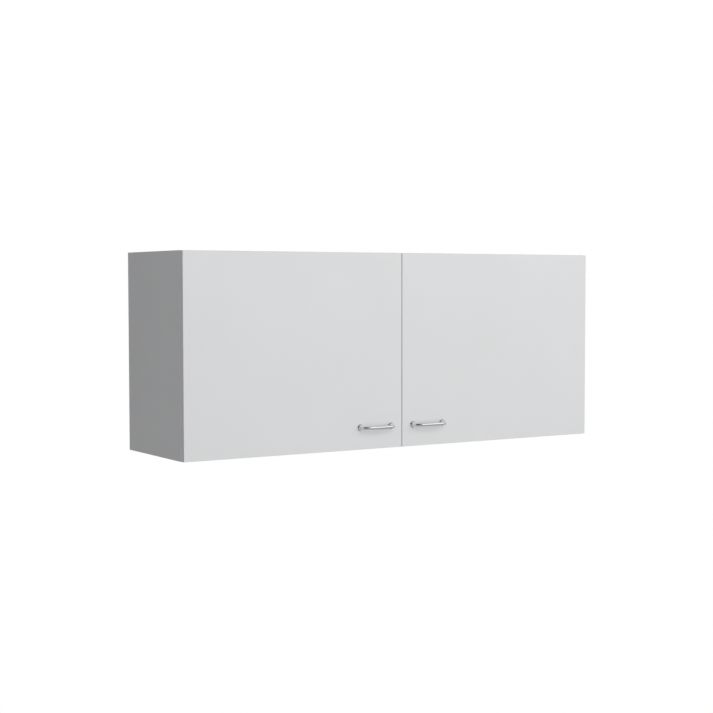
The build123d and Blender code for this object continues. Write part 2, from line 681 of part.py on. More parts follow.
def hinge_cup():
    """A round cup with a flange on the door's back and a pocket for the links."""
    u = REVEAL + CUP_FROM_EDGE
    x, y = place(u, DOOR_GAP)
    wing_u = u + CUP_SCREW_OFFSET
    cup = rod((x, y, 0), (0, -1, 0), CUP_RADIUS, CUP_DEPTH)
    flange = Circle(CUP_FLANGE_RADIUS)
    wings = [Pos(way * CUP_SCREW_SPACING / 2, 0) * Circle(CUP_SCREW_WING) for way in (-1, 1)]
    bridge = Rectangle(CUP_SCREW_SPACING, 2 * CUP_SCREW_WING)
    holes = [Pos(way * CUP_SCREW_SPACING / 2, 0) * Circle(CUP_SCREW_RADIUS + FIT) for way in (-1, 1)]
    round_frame = Plane(origin=(x, y, 0), z_dir=(0, 1, 0))
    wing_frame = Plane(origin=(place(wing_u, 0)[0], y, 0), x_dir=(0, 0, 1), z_dir=(0, 1, 0))
    cup += extrude(round_frame * flange, CUP_FLANGE)
    cup += [extrude(wing_frame * outline, CUP_FLANGE) for outline in (bridge, *wings)]
    cup -= [extrude(wing_frame * hole, CUP_FLANGE) for hole in holes]
    mouth = y + CUP_FLANGE + OVER
    pocket = rod((x, mouth, 0), (0, -1, 0), CUP_RADIUS - CUP_WALL, CUP_DEPTH - CUP_FLOOR + CUP_FLANGE + OVER)
    across = (x - CUP_RADIUS, x + CUP_RADIUS)
    pocket &= block(across, (y - CUP_DEPTH, mouth), (-CUP_POCKET_HALF, CUP_POCKET_HALF))
    cup -= pocket
    cup -= link_notches()
    for pivot in (CUP_PIVOT_OUTER, CUP_PIVOT_INNER):
        cup -= slab(disc(pivot, PIVOT_RADIUS + FIT / 2), -CUP_PIN_HALF - FIT, CUP_PIN_HALF + FIT)
    return cup


def cup_screws():
    """Two pan-head screws that hold the cup's flange to the door."""
    head = (CUP_SCREW_HEAD_RADIUS, CUP_SCREW_HEAD)
    shank = (CUP_SCREW_RADIUS, CUP_SCREW_LENGTH + CUP_FLANGE - FIT)
    seats = [(x, y + CUP_FLANGE, z) for x, y, z in cup_screw_places(SIDES["left"], 0)]
    return [pan_screw(seat, (0, -1, 0), head, shank) for seat in seats]


def on_hinges(shapes, places):
    """Copies of some hinge pieces, at each pair of a side and a level."""
    return [mirrored(Pos(0, 0, level) * shape, side) for side, level in places for shape in shapes]


# Hangers, drawn for the left side


def hanger_housing():
    """A plastic housing in the top rear corner, open at the rear and top for the hook."""
    outer_x = (-INSIDE, -INSIDE + HOUSING[0])
    housing = block(outer_x, HOUSING_Y, (CEILING - HOUSING[2], CEILING))
    housing = fillet(housing.edges().filter_by(Axis.X).group_by(Axis.Y)[0], HOUSING_ROUND)
    hollow_x = (outer_x[0] + HOUSING_WALL, outer_x[1] - HOUSING_WALL)
    hollow_z = (CEILING - HOUSING[2] + HOUSING_FLOOR, CEILING - HOUSING_ROOF)
    housing -= block(hollow_x, (HOUSING_Y[0] + HOUSING_FRONT, HOUSING_Y[1] + OVER), hollow_z)
    for z in (DEPTH_SCREW_Z, HEIGHT_SCREW_Z):
        start = (-HANGER_X, HOUSING_Y[0] - OVER, z)
        housing -= rod(start, (0, 1, 0), HANGER_SCREW_RADIUS + FIT, HOUSING_FRONT + 2 * OVER)
    for y, z in HOUSING_PEGS:
        housing += rod((-INSIDE, y, z), (-1, 0, 0), HOUSING_PEG_RADIUS, HOUSING_PEG_LENGTH)
    return housing


def hanger_hook():
    """A steel hook that reaches through the back panel and over the wall plate's lip."""
    x = (-HANGER_X - HOOK_THICK / 2, -HANGER_X + HOOK_THICK / 2)
    top = CEILING - HOOK_TOP_GAP
    tooth = (-WALL_LIP_OUT + HOOK_PLAY, -HOOK_PLAY)
    hook = block(x, (HOOK_FRONT, HOOK_NECK), (top - HOOK_ARM_DROP, top))
    hook += block(x, (HOOK_NECK, tooth[1]), (top - HOOK_OVER_LIP, top))
    hook += block(x, tooth, (top - HOOK_TOOTH_DROP, top))
    hook += block(x, HOOK_HEEL, (CEILING - HOUSING[2] + HOUSING_FLOOR + HOOK_TOP_GAP, top))
    lug_x = (-HANGER_X - HOOK_LUG[0] / 2, -HANGER_X + HOOK_LUG[0] / 2)
    lug_z = (DEPTH_SCREW_Z - HOOK_LUG_HALF, DEPTH_SCREW_Z + HOOK_LUG_HALF)
    hook += block(lug_x, (HOOK_FRONT, HOOK_FRONT + HOOK_LUG[1]), lug_z)
    start = (-HANGER_X, HOOK_FRONT - OVER, DEPTH_SCREW_Z)
    return hook - rod(start, (0, 1, 0), HANGER_SCREW_RADIUS + FIT, HOOK_LUG[1] + OVER)


def hanger_screw(z, tip):
    """A pan-head screw through the front of the housing, with its tip at a depth."""
    head = (HANGER_SCREW_HEAD_RADIUS, HANGER_SCREW_HEAD)
    return pan_screw((-HANGER_X, HOUSING_Y[0], z), (0, 1, 0), head, (HANGER_SCREW_RADIUS, tip - HOUSING_Y[0]))


def wall_plate():
    """A pressed plate on the wall with a raised lip that the hook hangs on."""
    start_x = -WALL_PLATE_X - WALL_PLATE_WIDTH / 2
    out = WALL_LIP_OUT + WALL_PLATE_THICK
    profile = Polyline(
        (0, WALL_PLATE_BOTTOM),
        (-WALL_PLATE_THICK, WALL_PLATE_BOTTOM),
        (-WALL_PLATE_THICK, WALL_STEP_FROM),
        (-out, WALL_LIP_BOTTOM),
        (-out, WALL_LIP_TOP),
        (-WALL_LIP_OUT, WALL_LIP_TOP),
        (-WALL_LIP_OUT, WALL_LIP_BOTTOM),
        (0, WALL_STEP_FROM),
        close=True,
    )
    frame = Plane(origin=(start_x, 0, 0), x_dir=(0, 1, 0), z_dir=(1, 0, 0))
    plate = extrude(frame * make_face(profile), WALL_PLATE_WIDTH)
    for z in (-WALL_SCREW_RISE / 2, WALL_SCREW_RISE / 2):
        start = (-WALL_PLATE_X, OVER, z)
        plate -= rod(start, (0, -1, 0), WALL_SCREW_RADIUS, WALL_PLATE_THICK + 2 * OVER)
    return plate


save("top_panel", level_panel(CEILING, -1))
save("bottom_panel", level_panel(FLOOR, 1))
save("centre_partition", centre_partition())
save("back_panel", back_panel())
save("shelf_pins", *shelf_pins())
save("dowels", *dowels())
bolts, cams, caps = cam_joints()
save("cam_bolts", *bolts)
save("cam_locks", *cams)
save("cam_caps", *caps)
save("partition_screws", *joint_screws())

everywhere = [(side, level) for side in SIDES.values() for level in HINGE_LEVELS.values()]
fixed_pins = [pivot_pin(pivot, ARM_PIN_HALF) for pivot in (ARM_PIVOT_OUTER, ARM_PIVOT_INNER)]
save("hinge_plate_screws", *on_hinges(plate_screws(), everywhere))
save("hinge_arm_screws", *on_hinges(arm_screws(), everywhere))
save("hinge_arm_pins", *on_hinges(fixed_pins, everywhere))
height_screw = hanger_screw(HEIGHT_SCREW_Z, HOOK_HEEL[0] - HOOK_PLAY)
depth_screw = hanger_screw(DEPTH_SCREW_Z, HOOK_FRONT + HOOK_LUG[1])
save("hanger_height_screws", *[mirrored(height_screw, side) for side in SIDES.values()])
save("hanger_depth_screws", *[mirrored(depth_screw, side) for side in SIDES.values()])

stubs = both_ways(disc(CUP_PIVOT_OUTER, PIVOT_RADIUS), CUP_PIN_STUB, CUP_PIN_HALF)
moving_pins = [stubs, pivot_pin(CUP_PIVOT_INNER, CUP_PIN_HALF)]
hinge_pieces = {
    "plate": mounting_plate(),
    "arm": hinge_arm(),
    "cup": hinge_cup(),
    "outer_link": outer_link(),
    "inner_link": inner_link(),
}
for name, side in SIDES.items():
    save(f"{name}_side_panel", side_panel(side))
    save(f"{name}_shelf", shelf(side))
    save(f"{name}_door", door(side))
    save(f"{name}_door_buffers", *door_buffers(side))
    save(f"{name}_handle_bar", handle_bar(side))
    save(f"{name}_handle_feet", *[handle_foot(x) for x in handle_feet(side)])
    save(f"{name}_handle_screws", *handle_screws(side))
    save(f"{name}_hanger_housing", mirrored(hanger_housing(), side))
    save(f"{name}_hanger_hook", mirrored(hanger_hook(), side))
    save(f"{name}_wall_plate", mirrored(wall_plate(), side))
    here = [(side, level) for level in HINGE_LEVELS.values()]
    save(f"{name}_cup_screws", *on_hinges(cup_screws(), here))
    save(f"{name}_cup_pins", *on_hinges(moving_pins, here))
    for where, level in HINGE_LEVELS.items():
        for part, shape in hinge_pieces.items():
            save(f"{name}_{where}_hinge_{part}", *on_hinges([shape], [(side, level)]))
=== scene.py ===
"""Looks of a hanging wall cabinet: its boards, doors, handles, hinges, shelves and hangers, in a studio."""

import logging
import math
from dataclasses import dataclass
from enum import Enum
from typing import Any, Callable, Sequence

import bmesh
import bpy
from mathutils import Matrix, Vector


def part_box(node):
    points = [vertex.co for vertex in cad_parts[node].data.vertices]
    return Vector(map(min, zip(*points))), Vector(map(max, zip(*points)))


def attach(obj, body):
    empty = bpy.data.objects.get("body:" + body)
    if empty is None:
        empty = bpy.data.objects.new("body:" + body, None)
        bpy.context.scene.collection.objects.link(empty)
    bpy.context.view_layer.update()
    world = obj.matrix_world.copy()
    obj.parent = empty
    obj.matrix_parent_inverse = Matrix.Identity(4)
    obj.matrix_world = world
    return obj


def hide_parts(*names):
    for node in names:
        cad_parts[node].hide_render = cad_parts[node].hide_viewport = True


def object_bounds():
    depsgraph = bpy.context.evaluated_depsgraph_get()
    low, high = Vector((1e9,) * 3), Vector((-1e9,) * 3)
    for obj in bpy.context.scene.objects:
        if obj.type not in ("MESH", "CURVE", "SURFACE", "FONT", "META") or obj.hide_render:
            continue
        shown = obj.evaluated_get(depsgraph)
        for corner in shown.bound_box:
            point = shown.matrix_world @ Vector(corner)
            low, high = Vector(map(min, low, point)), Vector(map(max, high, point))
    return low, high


LOG = logging.getLogger("wall_cabinet")
SIDES: dict[str, int] = {"left": -1, "right": 1}
LEVELS: tuple[str, str] = ("lower", "upper")

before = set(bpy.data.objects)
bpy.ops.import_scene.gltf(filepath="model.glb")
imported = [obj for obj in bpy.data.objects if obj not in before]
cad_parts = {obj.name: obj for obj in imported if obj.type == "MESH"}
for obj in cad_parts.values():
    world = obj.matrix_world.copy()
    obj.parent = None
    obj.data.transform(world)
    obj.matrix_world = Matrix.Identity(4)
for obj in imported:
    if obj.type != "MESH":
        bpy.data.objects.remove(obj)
CAD_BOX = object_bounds()

Triple = tuple[float, float, float]
Pair = tuple[float, float]
Colour = Triple
Radius = float | Callable[[float], float]
Inputs = Sequence[tuple[str, str, Any]]
Socket = bpy.types.NodeSocket
Node = bpy.types.Node
Tree = bpy.types.NodeTree
Piece = bpy.types.Object
Mesh = bmesh.types.BMesh

FLOAT, VECTOR, COLOUR = "NodeSocketFloat", "NodeSocketVector", "NodeSocketColor"
WHITE: Colour = (1.0, 1.0, 1.0)
SMOOTH_ANGLE = 35.0
MERGE_DISTANCE = 1e-7
SCREW_SPIN = 0.7


class Kind(Enum):
    """The two sorts of node tree that the script builds."""

    SHADER = "ShaderNodeTree"
    GEOMETRY = "GeometryNodeTree"


class Turn(Enum):
    """How a repeated piece is turned: which of its own axes faces out, and about which one it pivots."""

    HEAD_OUT = ("Z", "AUTO")
    UPRIGHT = ("X", "Z")


class Recess(Enum):
    """The driver hole in a screw's head."""

    CROSS = "cross"
    HEXAGON = "hexagon"


class Nodes:
    """Adds nodes to one tree and joins them."""

    def __init__(self, tree: Tree) -> None:
        """Keeps the tree.

        Args:
            tree: The shader or geometry tree to fill.
        """
        self.tree = tree

    def add(self, kind: str, inputs: dict[Any, Any] | None = None, **settings: Any) -> Node:
        """Adds one node.

        Args:
            kind: The node's type name.
            inputs: Values or output sockets, by input name or number.
            settings: The node's own properties.

        Returns:
            The new node.
        """
        node = self.tree.nodes.new(kind)
        for key, value in settings.items():
            setattr(node, key, value)
        for key, value in (inputs or {}).items():
            self.feed(value, node.inputs[key])
        return node

    def feed(self, value: Any, socket: Socket) -> None:
        """Links an outlet to an input, or sets the input's own value.

        Args:
            value: An outlet or a plain value.
            socket: The input.
        """
        if isinstance(value, Socket):
            self.tree.links.new(value, socket)
        else:
            socket.default_value = value

    def math(self, operation: str, *values: Any) -> Socket:
        """Adds a Math node and gives its result."""
        return self.add("ShaderNodeMath", dict(enumerate(values)), operation=operation).outputs[0]

    def plus(self, first: Any, second: Any) -> Socket:
        """Adds two values."""
        return self.math("ADD", first, second)

    def minus(self, first: Any, second: Any) -> Socket:
        """Takes one value from another."""
        return self.math("SUBTRACT", first, second)

    def times(self, first: Any, second: Any) -> Socket:
        """Multiplies two values."""
        return self.math("MULTIPLY", first, second)

    def sway(self, base: float, noise: Socket, spread: float) -> Socket:
        """A base value that a noise moves up and down by half the spread."""
        return self.plus(base, self.times(self.minus(noise, 0.5), spread))

    def vector(self, operation: str, *values: Any) -> Socket:
        """Adds a Vector Math node and gives its vector."""
        return self.add("ShaderNodeVectorMath", dict(enumerate(values)), operation=operation).outputs[0]

    def noise(self, vector: Any, scale: Any, detail: float = 4.0, rough: float = 0.5) -> Socket:
        """Adds a Noise Texture and gives its strength."""
        inputs = {"Vector": vector, "Scale": scale, "Detail": detail, "Roughness": rough}
        return self.add("ShaderNodeTexNoise", inputs).outputs[0]

    def ramp(self, value: Any, low: float, high: float, at_low: float = 0.0, at_high: float = 1.0) -> Socket:
        """Maps a value from one span to another, held at both ends."""
        inputs = {0: value, 1: low, 2: high, 3: at_low, 4: at_high}
        return self.add("ShaderNodeMapRange", inputs, clamp=True).outputs[0]

    def mix(self, factor: Any, first: Any, second: Any) -> Socket:
        """Mixes two colours."""
        return self.add("ShaderNodeMix", {0: factor, 6: first, 7: second}, data_type="RGBA").outputs[2]

    def tones(self, value: Any, colour: Colour, first: float, second: float) -> Socket:
        """Two shades of one colour, which a value chooses between."""
        return self.mix(value, rgba(shade(colour, first)), rgba(shade(colour, second)))

    def stretched(self, vector: Any, stretch: Sequence[float]) -> Socket:
        """Scales a coordinate unevenly, so that a noise on it becomes streaks."""
        return self.add("ShaderNodeMapping", {"Vector": vector, "Scale": tuple(stretch)}).outputs[0]


def rgba(colour: Colour) -> tuple[float, float, float, float]:
    """A colour with full alpha."""
    return (*colour, 1.0)


def shade(colour: Colour, factor: float) -> Colour:
    """The same colour, darker or lighter."""
    return tuple(min(1.0, part * factor) for part in colour)


def shader_group(
    name: str, wanted: Inputs, given: Sequence[tuple[str, str]], fill: Callable[[Nodes, Any, Any], None]
) -> Tree:
    """Builds a shader node group once, and gives it again when it is asked for later.

    Args:
        name: The group's name.
        wanted: Name, socket type and default of each input after the place.
        given: Name and socket type of each output.
        fill: Fills the group from its nodes, its input outlets and its output inlets.

    Returns:
        The group.
    """
    tree = bpy.data.node_groups.get(name)
    if tree is not None:
        return tree
    tree = bpy.data.node_groups.new(name, Kind.SHADER.value)
    for title, kind, value in (("Place", VECTOR, (0, 0, 0)), *wanted):
        socket = tree.interface.new_socket(name=title, in_out="INPUT", socket_type=kind)
        socket.default_value = value
    for title, kind in given:
        tree.interface.new_socket(name=title, in_out="OUTPUT", socket_type=kind)
    source = tree.nodes.new("NodeGroupInput")
    sink = tree.nodes.new("NodeGroupOutput")
    fill(Nodes(tree), source.outputs, sink.inputs)
    return tree


def pressed_grain() -> Tree:
    """The fine, even press texture of melamine and of moulded plastic.

    Returns:
        The group.
    """

    def fill(nodes: Nodes, source: Any, sink: Any) -> None:
        """Adds two sizes of pebble and a slow cloud.

        Args:
            nodes: The group's nodes.
            source: Its input outlets.
            sink: Its output inlets.
        """
        fine = nodes.noise(source["Place"], source["Scale"], 3.0, 0.6)
        coarse = nodes.noise(source["Place"], nodes.times(source["Scale"], 0.31), 2.0, 0.5)
        height = nodes.plus(nodes.times(fine, 0.6), nodes.times(coarse, 0.4))
        cloud = nodes.noise(source["Place"], source["Cloud scale"], 3.0, 0.55)
        nodes.feed(height, sink["Height"])
        nodes.feed(cloud, sink["Cloud"])

    return shader_group(
        "PressedGrain",
        [("Scale", FLOAT, 900.0), ("Cloud scale", FLOAT, 6.0)],
        [("Height", FLOAT), ("Cloud", FLOAT)],
        fill,
    )


def handling_wear() -> Tree:
    """Faint finger marks and hair scratches, as a mask.

    Returns:
        The group.
    """

    def fill(nodes: Nodes, source: Any, sink: Any) -> None:
        """Adds smudges and two directions of scratch.

        Args:
            nodes: The group's nodes.
            source: Its input outlets.
            sink: Its output inlets.
        """
        smudge = nodes.ramp(nodes.noise(source["Place"], source["Smudge scale"], 5.0, 0.62), 0.55, 0.72)
        one = nodes.noise(nodes.stretched(source["Place"], (30.0, 900.0, 1400.0)), 1.0, 2.0)
        two = nodes.noise(nodes.stretched(source["Place"], (1200.0, 800.0, 24.0)), 1.0, 2.0)
        lines = nodes.math("MAXIMUM", nodes.ramp(one, 0.69, 0.74), nodes.ramp(two, 0.70, 0.75))
        patch = nodes.ramp(nodes.noise(source["Place"], 14.0, 2.0), 0.5, 0.65)
        nodes.feed(smudge, sink["Smudge"])
        nodes.feed(nodes.times(lines, patch), sink["Scratch"])

    return shader_group(
        "HandlingWear",
        [("Smudge scale", FLOAT, 22.0)],
        [("Smudge", FLOAT), ("Scratch", FLOAT)],
        fill,
    )


def resting_dust() -> Tree:
    """A thin film of dust on the faces that look up.

    Returns:
        The group.
    """

    def fill(nodes: Nodes, source: Any, sink: Any) -> None:
        """Masks the upward faces and breaks the mask up.

        Args:
            nodes: The group's nodes.
            source: Its input outlets.
            sink: Its output inlets.
        """
        normal = nodes.add("ShaderNodeNewGeometry").outputs["Normal"]
        up = nodes.add("ShaderNodeSeparateXYZ", {0: normal}).outputs[2]
        level = nodes.ramp(up, 0.7, 0.95)
        drift = nodes.ramp(nodes.noise(source["Place"], 35.0, 6.0, 0.65), 0.35, 0.75)
        amount = nodes.times(nodes.times(level, drift), source["Amount"])
        nodes.feed(amount, sink["Mask"])

    return shader_group("RestingDust", [("Amount", FLOAT, 0.2)], [("Mask", FLOAT)], fill)


def board_parts() -> Tree:
    """Where a board shows its raw core, and where its edge band meets its face.

    Returns:
        The group.
    """

    def fill(nodes: Nodes, source: Any, sink: Any) -> None:
        """Measures the depth of a point under the six faces of the board.

        Args:
            nodes: The group's nodes.
            source: Its input outlets.
            sink: Its output inlets.
        """
        low = nodes.vector("SUBTRACT", source["Place"], source["Low"])
        high = nodes.vector("SUBTRACT", source["High"], source["Place"])
        depth = nodes.add("ShaderNodeSeparateXYZ", {0: nodes.vector("MINIMUM", low, high)}).outputs
        smallest = nodes.math("MINIMUM", nodes.math("MINIMUM", depth[0], depth[1]), depth[2])
        largest = nodes.math("MAXIMUM", nodes.math("MAXIMUM", depth[0], depth[1]), depth[2])
        total = nodes.plus(nodes.plus(depth[0], depth[1]), depth[2])
        middle = nodes.minus(total, nodes.plus(smallest, largest))
        inside = nodes.ramp(smallest, 0.00035, 0.00055)
        rear = nodes.ramp(nodes.add("ShaderNodeSeparateXYZ", {0: high}).outputs[1], 0.0002, 0.0001)
        raw_rear = nodes.times(rear, source["Raw rear"])
        offset = nodes.math("ABSOLUTE", nodes.minus(middle, source["Band"]))
        seam = nodes.ramp(offset, 0.00004, 0.00014, 1.0, 0.0)
        nodes.feed(nodes.math("MAXIMUM", inside, raw_rear), sink["Core"])
        nodes.feed(seam, sink["Seam"])

    return shader_group(
        "BoardParts",
        [
            ("Low", VECTOR, (0, 0, 0)),
            ("High", VECTOR, (1, 1, 1)),
            ("Band", FLOAT, 0.0008),
            ("Raw rear", FLOAT, 0.0),
        ],
        [("Core", FLOAT), ("Seam", FLOAT)],
        fill,
    )


def wood_chips() -> Tree:
    """Pressed wood chips, as in a board's core.

    Returns:
        The group.
    """

    def fill(nodes: Nodes, source: Any, sink: Any) -> None:
        """Adds flat chips of many browns with dark gaps between them.

        Args:
            nodes: The group's nodes.
            source: Its input outlets.
            sink: Its output inlets.
        """
        flat = nodes.stretched(source["Place"], (420.0, 420.0, 900.0))
        cells = nodes.add("ShaderNodeTexVoronoi", {"Vector": flat, "Scale": 1.0})
        tone = nodes.add("ShaderNodeSeparateColor", {0: cells.outputs["Color"]}).outputs[0]
        colour = nodes.mix(tone, rgba((0.30, 0.19, 0.10)), rgba((0.62, 0.46, 0.29)))
        gaps = nodes.ramp(cells.outputs["Distance"], 0.45, 0.75)
        nodes.feed(nodes.mix(gaps, colour, rgba((0.17, 0.11, 0.06))), sink["Colour"])
        nodes.feed(nodes.minus(tone, gaps), sink["Height"])

    return shader_group("WoodChips", [], [("Colour", COLOUR), ("Height", FLOAT)], fill)


def drawn_lines() -> Tree:
    """Fine drawing or turning lines along one direction of a metal piece.

    Returns:
        The group.
    """

    def fill(nodes: Nodes, source: Any, sink: Any) -> None:
        """Adds streaks and a slow mottle.

        Args:
            nodes: The group's nodes.
            source: Its input outlets.
            sink: Its output inlets.
        """
        place = nodes.vector("MULTIPLY", source["Place"], source["Stretch"])
        nodes.feed(nodes.noise(place, 1.0, 3.0, 0.6), sink["Streak"])
        nodes.feed(nodes.noise(source["Place"], 160.0, 4.0, 0.6), sink["Mottle"])

    return shader_group(
        "DrawnLines",
        [("Stretch", VECTOR, (60.0, 2500.0, 2500.0))],
        [("Streak", FLOAT), ("Mottle", FLOAT)],
        fill,
    )


def emptied(owner: bpy.types.Material | bpy.types.World) -> Nodes:
    """Gives a material or a world an empty tree.

    Args:
        owner: The material or the world.

    Returns:
        The nodes of its tree.
    """
    owner.use_nodes = True
    owner.node_tree.nodes.clear()
    return Nodes(owner.node_tree)


class Finish:
    """A finish that can be put on a piece."""

    name: str

    def paint(self, nodes: Nodes, place: Socket, shader: Node) -> None:
        """Adds the finish's nodes and joins them to the shader."""
        raise NotImplementedError

    def material(self) -> bpy.types.Material:
        """Builds the material once, and gives it again later.

        Returns:
            The material, with its place read from Object coordinates.
        """
        made = bpy.data.materials.get(self.name)
        if made is not None:
            return made
        made = bpy.data.materials.new(self.name)
        nodes = emptied(made)
        place = nodes.add("ShaderNodeTexCoord").outputs["Object"]
        shader = nodes.add("ShaderNodeBsdfPrincipled")
        output = nodes.add("ShaderNodeOutputMaterial")
        nodes.feed(shader.outputs[0], output.inputs["Surface"])
        self.paint(nodes, place, shader)
        return made

    def dress(self, *pieces: Piece) -> None:
        """Puts the finish on every material slot of some pieces.

        Args:
            pieces: The pieces to dress.
        """
        for piece in pieces:
            piece.data.materials.clear()
            piece.data.materials.append(self.material())


def use_group(nodes: Nodes, group: Tree, **values: Any) -> Any:
    """Adds a node group and sets its inputs.

    Args:
        nodes: The tree to add to.
        group: The group.
        values: Values or outlets by input name, with an underscore for each space.

    Returns:
        The group node's outputs.
    """
    inputs = {key.replace("_", " "): value for key, value in values.items()}
    return nodes.add("ShaderNodeGroup", inputs, node_tree=group).outputs


def bump(nodes: Nodes, shader: Node, layers: Sequence[tuple[Any, float, float]]) -> None:
    """Stacks bumps on a shader's normal.

    Args:
        nodes: The tree to add to.
        shader: The shader that takes the normal.
        layers: Height, strength and distance of each bump.
    """
    last = None
    for height, strength, distance in layers:
        inputs = {"Height": height, "Strength": strength, "Distance": distance}
        if last is not None:
            inputs["Normal"] = last
        last = nodes.add("ShaderNodeBump", inputs).outputs[0]
    nodes.feed(last, shader.inputs["Normal"])


@dataclass(frozen=True)
class BoardFinish(Finish):
    """Matte melamine on chipboard, with edge bands, and raw chips inside every bore and groove."""

    name: str
    low: Triple
    high: Triple
    raw_rear: bool
    colour: Colour = (0.745, 0.747, 0.753)
    roughness: float = 0.46

    def paint(self, nodes: Nodes, place: Socket, shader: Node) -> None:
        """Adds press grain, wear, dust, band seams and the raw core.

        Args:
            nodes: The material's nodes.
            place: The Object coordinates.
            shader: The shader to feed.
        """
        grain = use_group(nodes, pressed_grain(), Place=place, Scale=1150.0, Cloud_scale=3.2)
        wear = use_group(nodes, handling_wear(), Place=place, Smudge_scale=17.0)
        dust = use_group(nodes, resting_dust(), Place=place, Amount=0.16)["Mask"]
        parts = use_group(
            nodes, board_parts(), Place=place, Low=self.low, High=self.high, Raw_rear=float(self.raw_rear)
        )
        chips = use_group(nodes, wood_chips(), Place=place)
        cloud = nodes.ramp(grain["Cloud"], 0.3, 0.7)
        face = nodes.tones(cloud, self.colour, 0.985, 1.012)
        face = nodes.mix(nodes.times(grain["Height"], 0.05), face, rgba(shade(self.colour, 0.8)))
        face = nodes.mix(nodes.times(parts["Seam"], 0.35), face, rgba(shade(self.colour, 0.55)))
        face = nodes.mix(nodes.times(wear["Scratch"], 0.05), face, rgba(shade(self.colour, 1.15)))
        face = nodes.mix(dust, face, rgba((0.66, 0.64, 0.60)))
        colour = nodes.mix(parts["Core"], face, chips["Colour"])
        nodes.feed(colour, shader.inputs["Base Color"])
        rough = nodes.sway(self.roughness, grain["Cloud"], 0.10)
        rough = nodes.minus(rough, nodes.times(wear["Smudge"], 0.07))
        rough = nodes.plus(rough, nodes.times(parts["Core"], 0.4))
        nodes.feed(rough, shader.inputs["Roughness"])
        chip_height = nodes.times(chips["Height"], parts["Core"])
        bump(
            nodes,
            shader,
            [(grain["Height"], 0.10, 0.00006), (parts["Seam"], 0.5, -0.00008), (chip_height, 0.6, 0.0004)],
        )


@dataclass(frozen=True)
class SheetFinish(Finish):
    """Thin hardboard, lacquered on its front and raw brown behind."""

    name: str
    rear: float
    colour: Colour = (0.76, 0.76, 0.755)
    raw: Colour = (0.30, 0.20, 0.12)

    def paint(self, nodes: Nodes, place: Socket, shader: Node) -> None:
        """Adds lacquer ripple in front and matted fibres behind.

        Args:
            nodes: The material's nodes.
            place: The Object coordinates.
            shader: The shader to feed.
        """
        depth = nodes.add("ShaderNodeSeparateXYZ", {0: place}).outputs[1]
        behind = nodes.ramp(depth, self.rear - 0.0006, self.rear - 0.0004)
        fibre = nodes.noise(nodes.stretched(place, (260.0, 260.0, 90.0)), 1.0, 6.0, 0.7)
        grain = use_group(nodes, pressed_grain(), Place=place, Scale=520.0, Cloud_scale=4.0)
        lacquer = nodes.tones(grain["Cloud"], self.colour, 0.97, 1.02)
        brown = nodes.tones(fibre, self.raw, 0.6, 1.5)
        nodes.feed(nodes.mix(behind, lacquer, brown), shader.inputs["Base Color"])
        rough = nodes.ramp(nodes.plus(behind, nodes.times(fibre, 0.2)), 0.0, 1.2, 0.42, 0.85)
        nodes.feed(rough, shader.inputs["Roughness"])
        bump(nodes, shader, [(grain["Height"], 0.15, 0.00008), (nodes.times(fibre, behind), 0.5, 0.0002)])


@dataclass(frozen=True)
class MetalFinish(Finish):
    """A bare or plated metal with drawing lines, a slow mottle and finger marks."""

    name: str
    colour: Colour
    roughness: float
    streak: float = 0.05
    mottle: float = 0.04
    depth: float = 0.00001
    stretch: Triple = (60.0, 2500.0, 2500.0)

    def paint(self, nodes: Nodes, place: Socket, shader: Node) -> None:
        """Adds the lines, the mottle and the marks.

        Args:
            nodes: The material's nodes.
            place: The Object coordinates.
            shader: The shader to feed.
        """
        lines = use_group(nodes, drawn_lines(), Place=place, Stretch=self.stretch)
        wear = use_group(nodes, handling_wear(), Place=place, Smudge_scale=70.0)
        dust = use_group(nodes, resting_dust(), Place=place, Amount=0.05)["Mask"]
        tone = nodes.tones(lines["Mottle"], self.colour, 1.0 - self.mottle, 1.0 + self.mottle)
        tone = nodes.mix(dust, tone, rgba((0.5, 0.48, 0.45)))
        nodes.feed(tone, shader.inputs["Base Color"])
        shader.inputs["Metallic"].default_value = 1.0
        rough = nodes.sway(self.roughness, lines["Streak"], self.streak)
        rough = nodes.plus(rough, nodes.times(wear["Smudge"], 0.05))
        rough = nodes.plus(rough, nodes.times(wear["Scratch"], 0.08))
        nodes.feed(rough, shader.inputs["Roughness"])
        bump(nodes, shader, [(lines["Streak"], 0.2, self.depth), (wear["Scratch"], 0.1, -self.depth)])


@dataclass(frozen=True)
class PlasticFinish(Finish):
    """Moulded plastic with a spark-worn grain."""

    name: str
    colour: Colour
    roughness: float = 0.45
    grain: float = 700.0
    see_through: float = 0.0

    def paint(self, nodes: Nodes, place: Socket, shader: Node) -> None:
        """Adds the mould grain, a cloudy tint and scuffs.

        Args:
            nodes: The material's nodes.
            place: The Object coordinates.
            shader: The shader to feed.
        """
        grain = use_group(nodes, pressed_grain(), Place=place, Scale=self.grain, Cloud_scale=40.0)
        wear = use_group(nodes, handling_wear(), Place=place, Smudge_scale=60.0)
        tone = nodes.tones(grain["Cloud"], self.colour, 0.95, 1.04)
        tone = nodes.mix(nodes.times(wear["Scratch"], 0.25), tone, rgba(shade(self.colour, 1.2)))
        nodes.feed(tone, shader.inputs["Base Color"])
        rough = nodes.sway(self.roughness, grain["Height"], 0.2)
        nodes.feed(rough, shader.inputs["Roughness"])
        shader.inputs["Transmission Weight"].default_value = self.see_through
        shader.inputs["IOR"].default_value = 1.49
        bump(nodes, shader, [(grain["Height"], 0.25, 0.00006)])


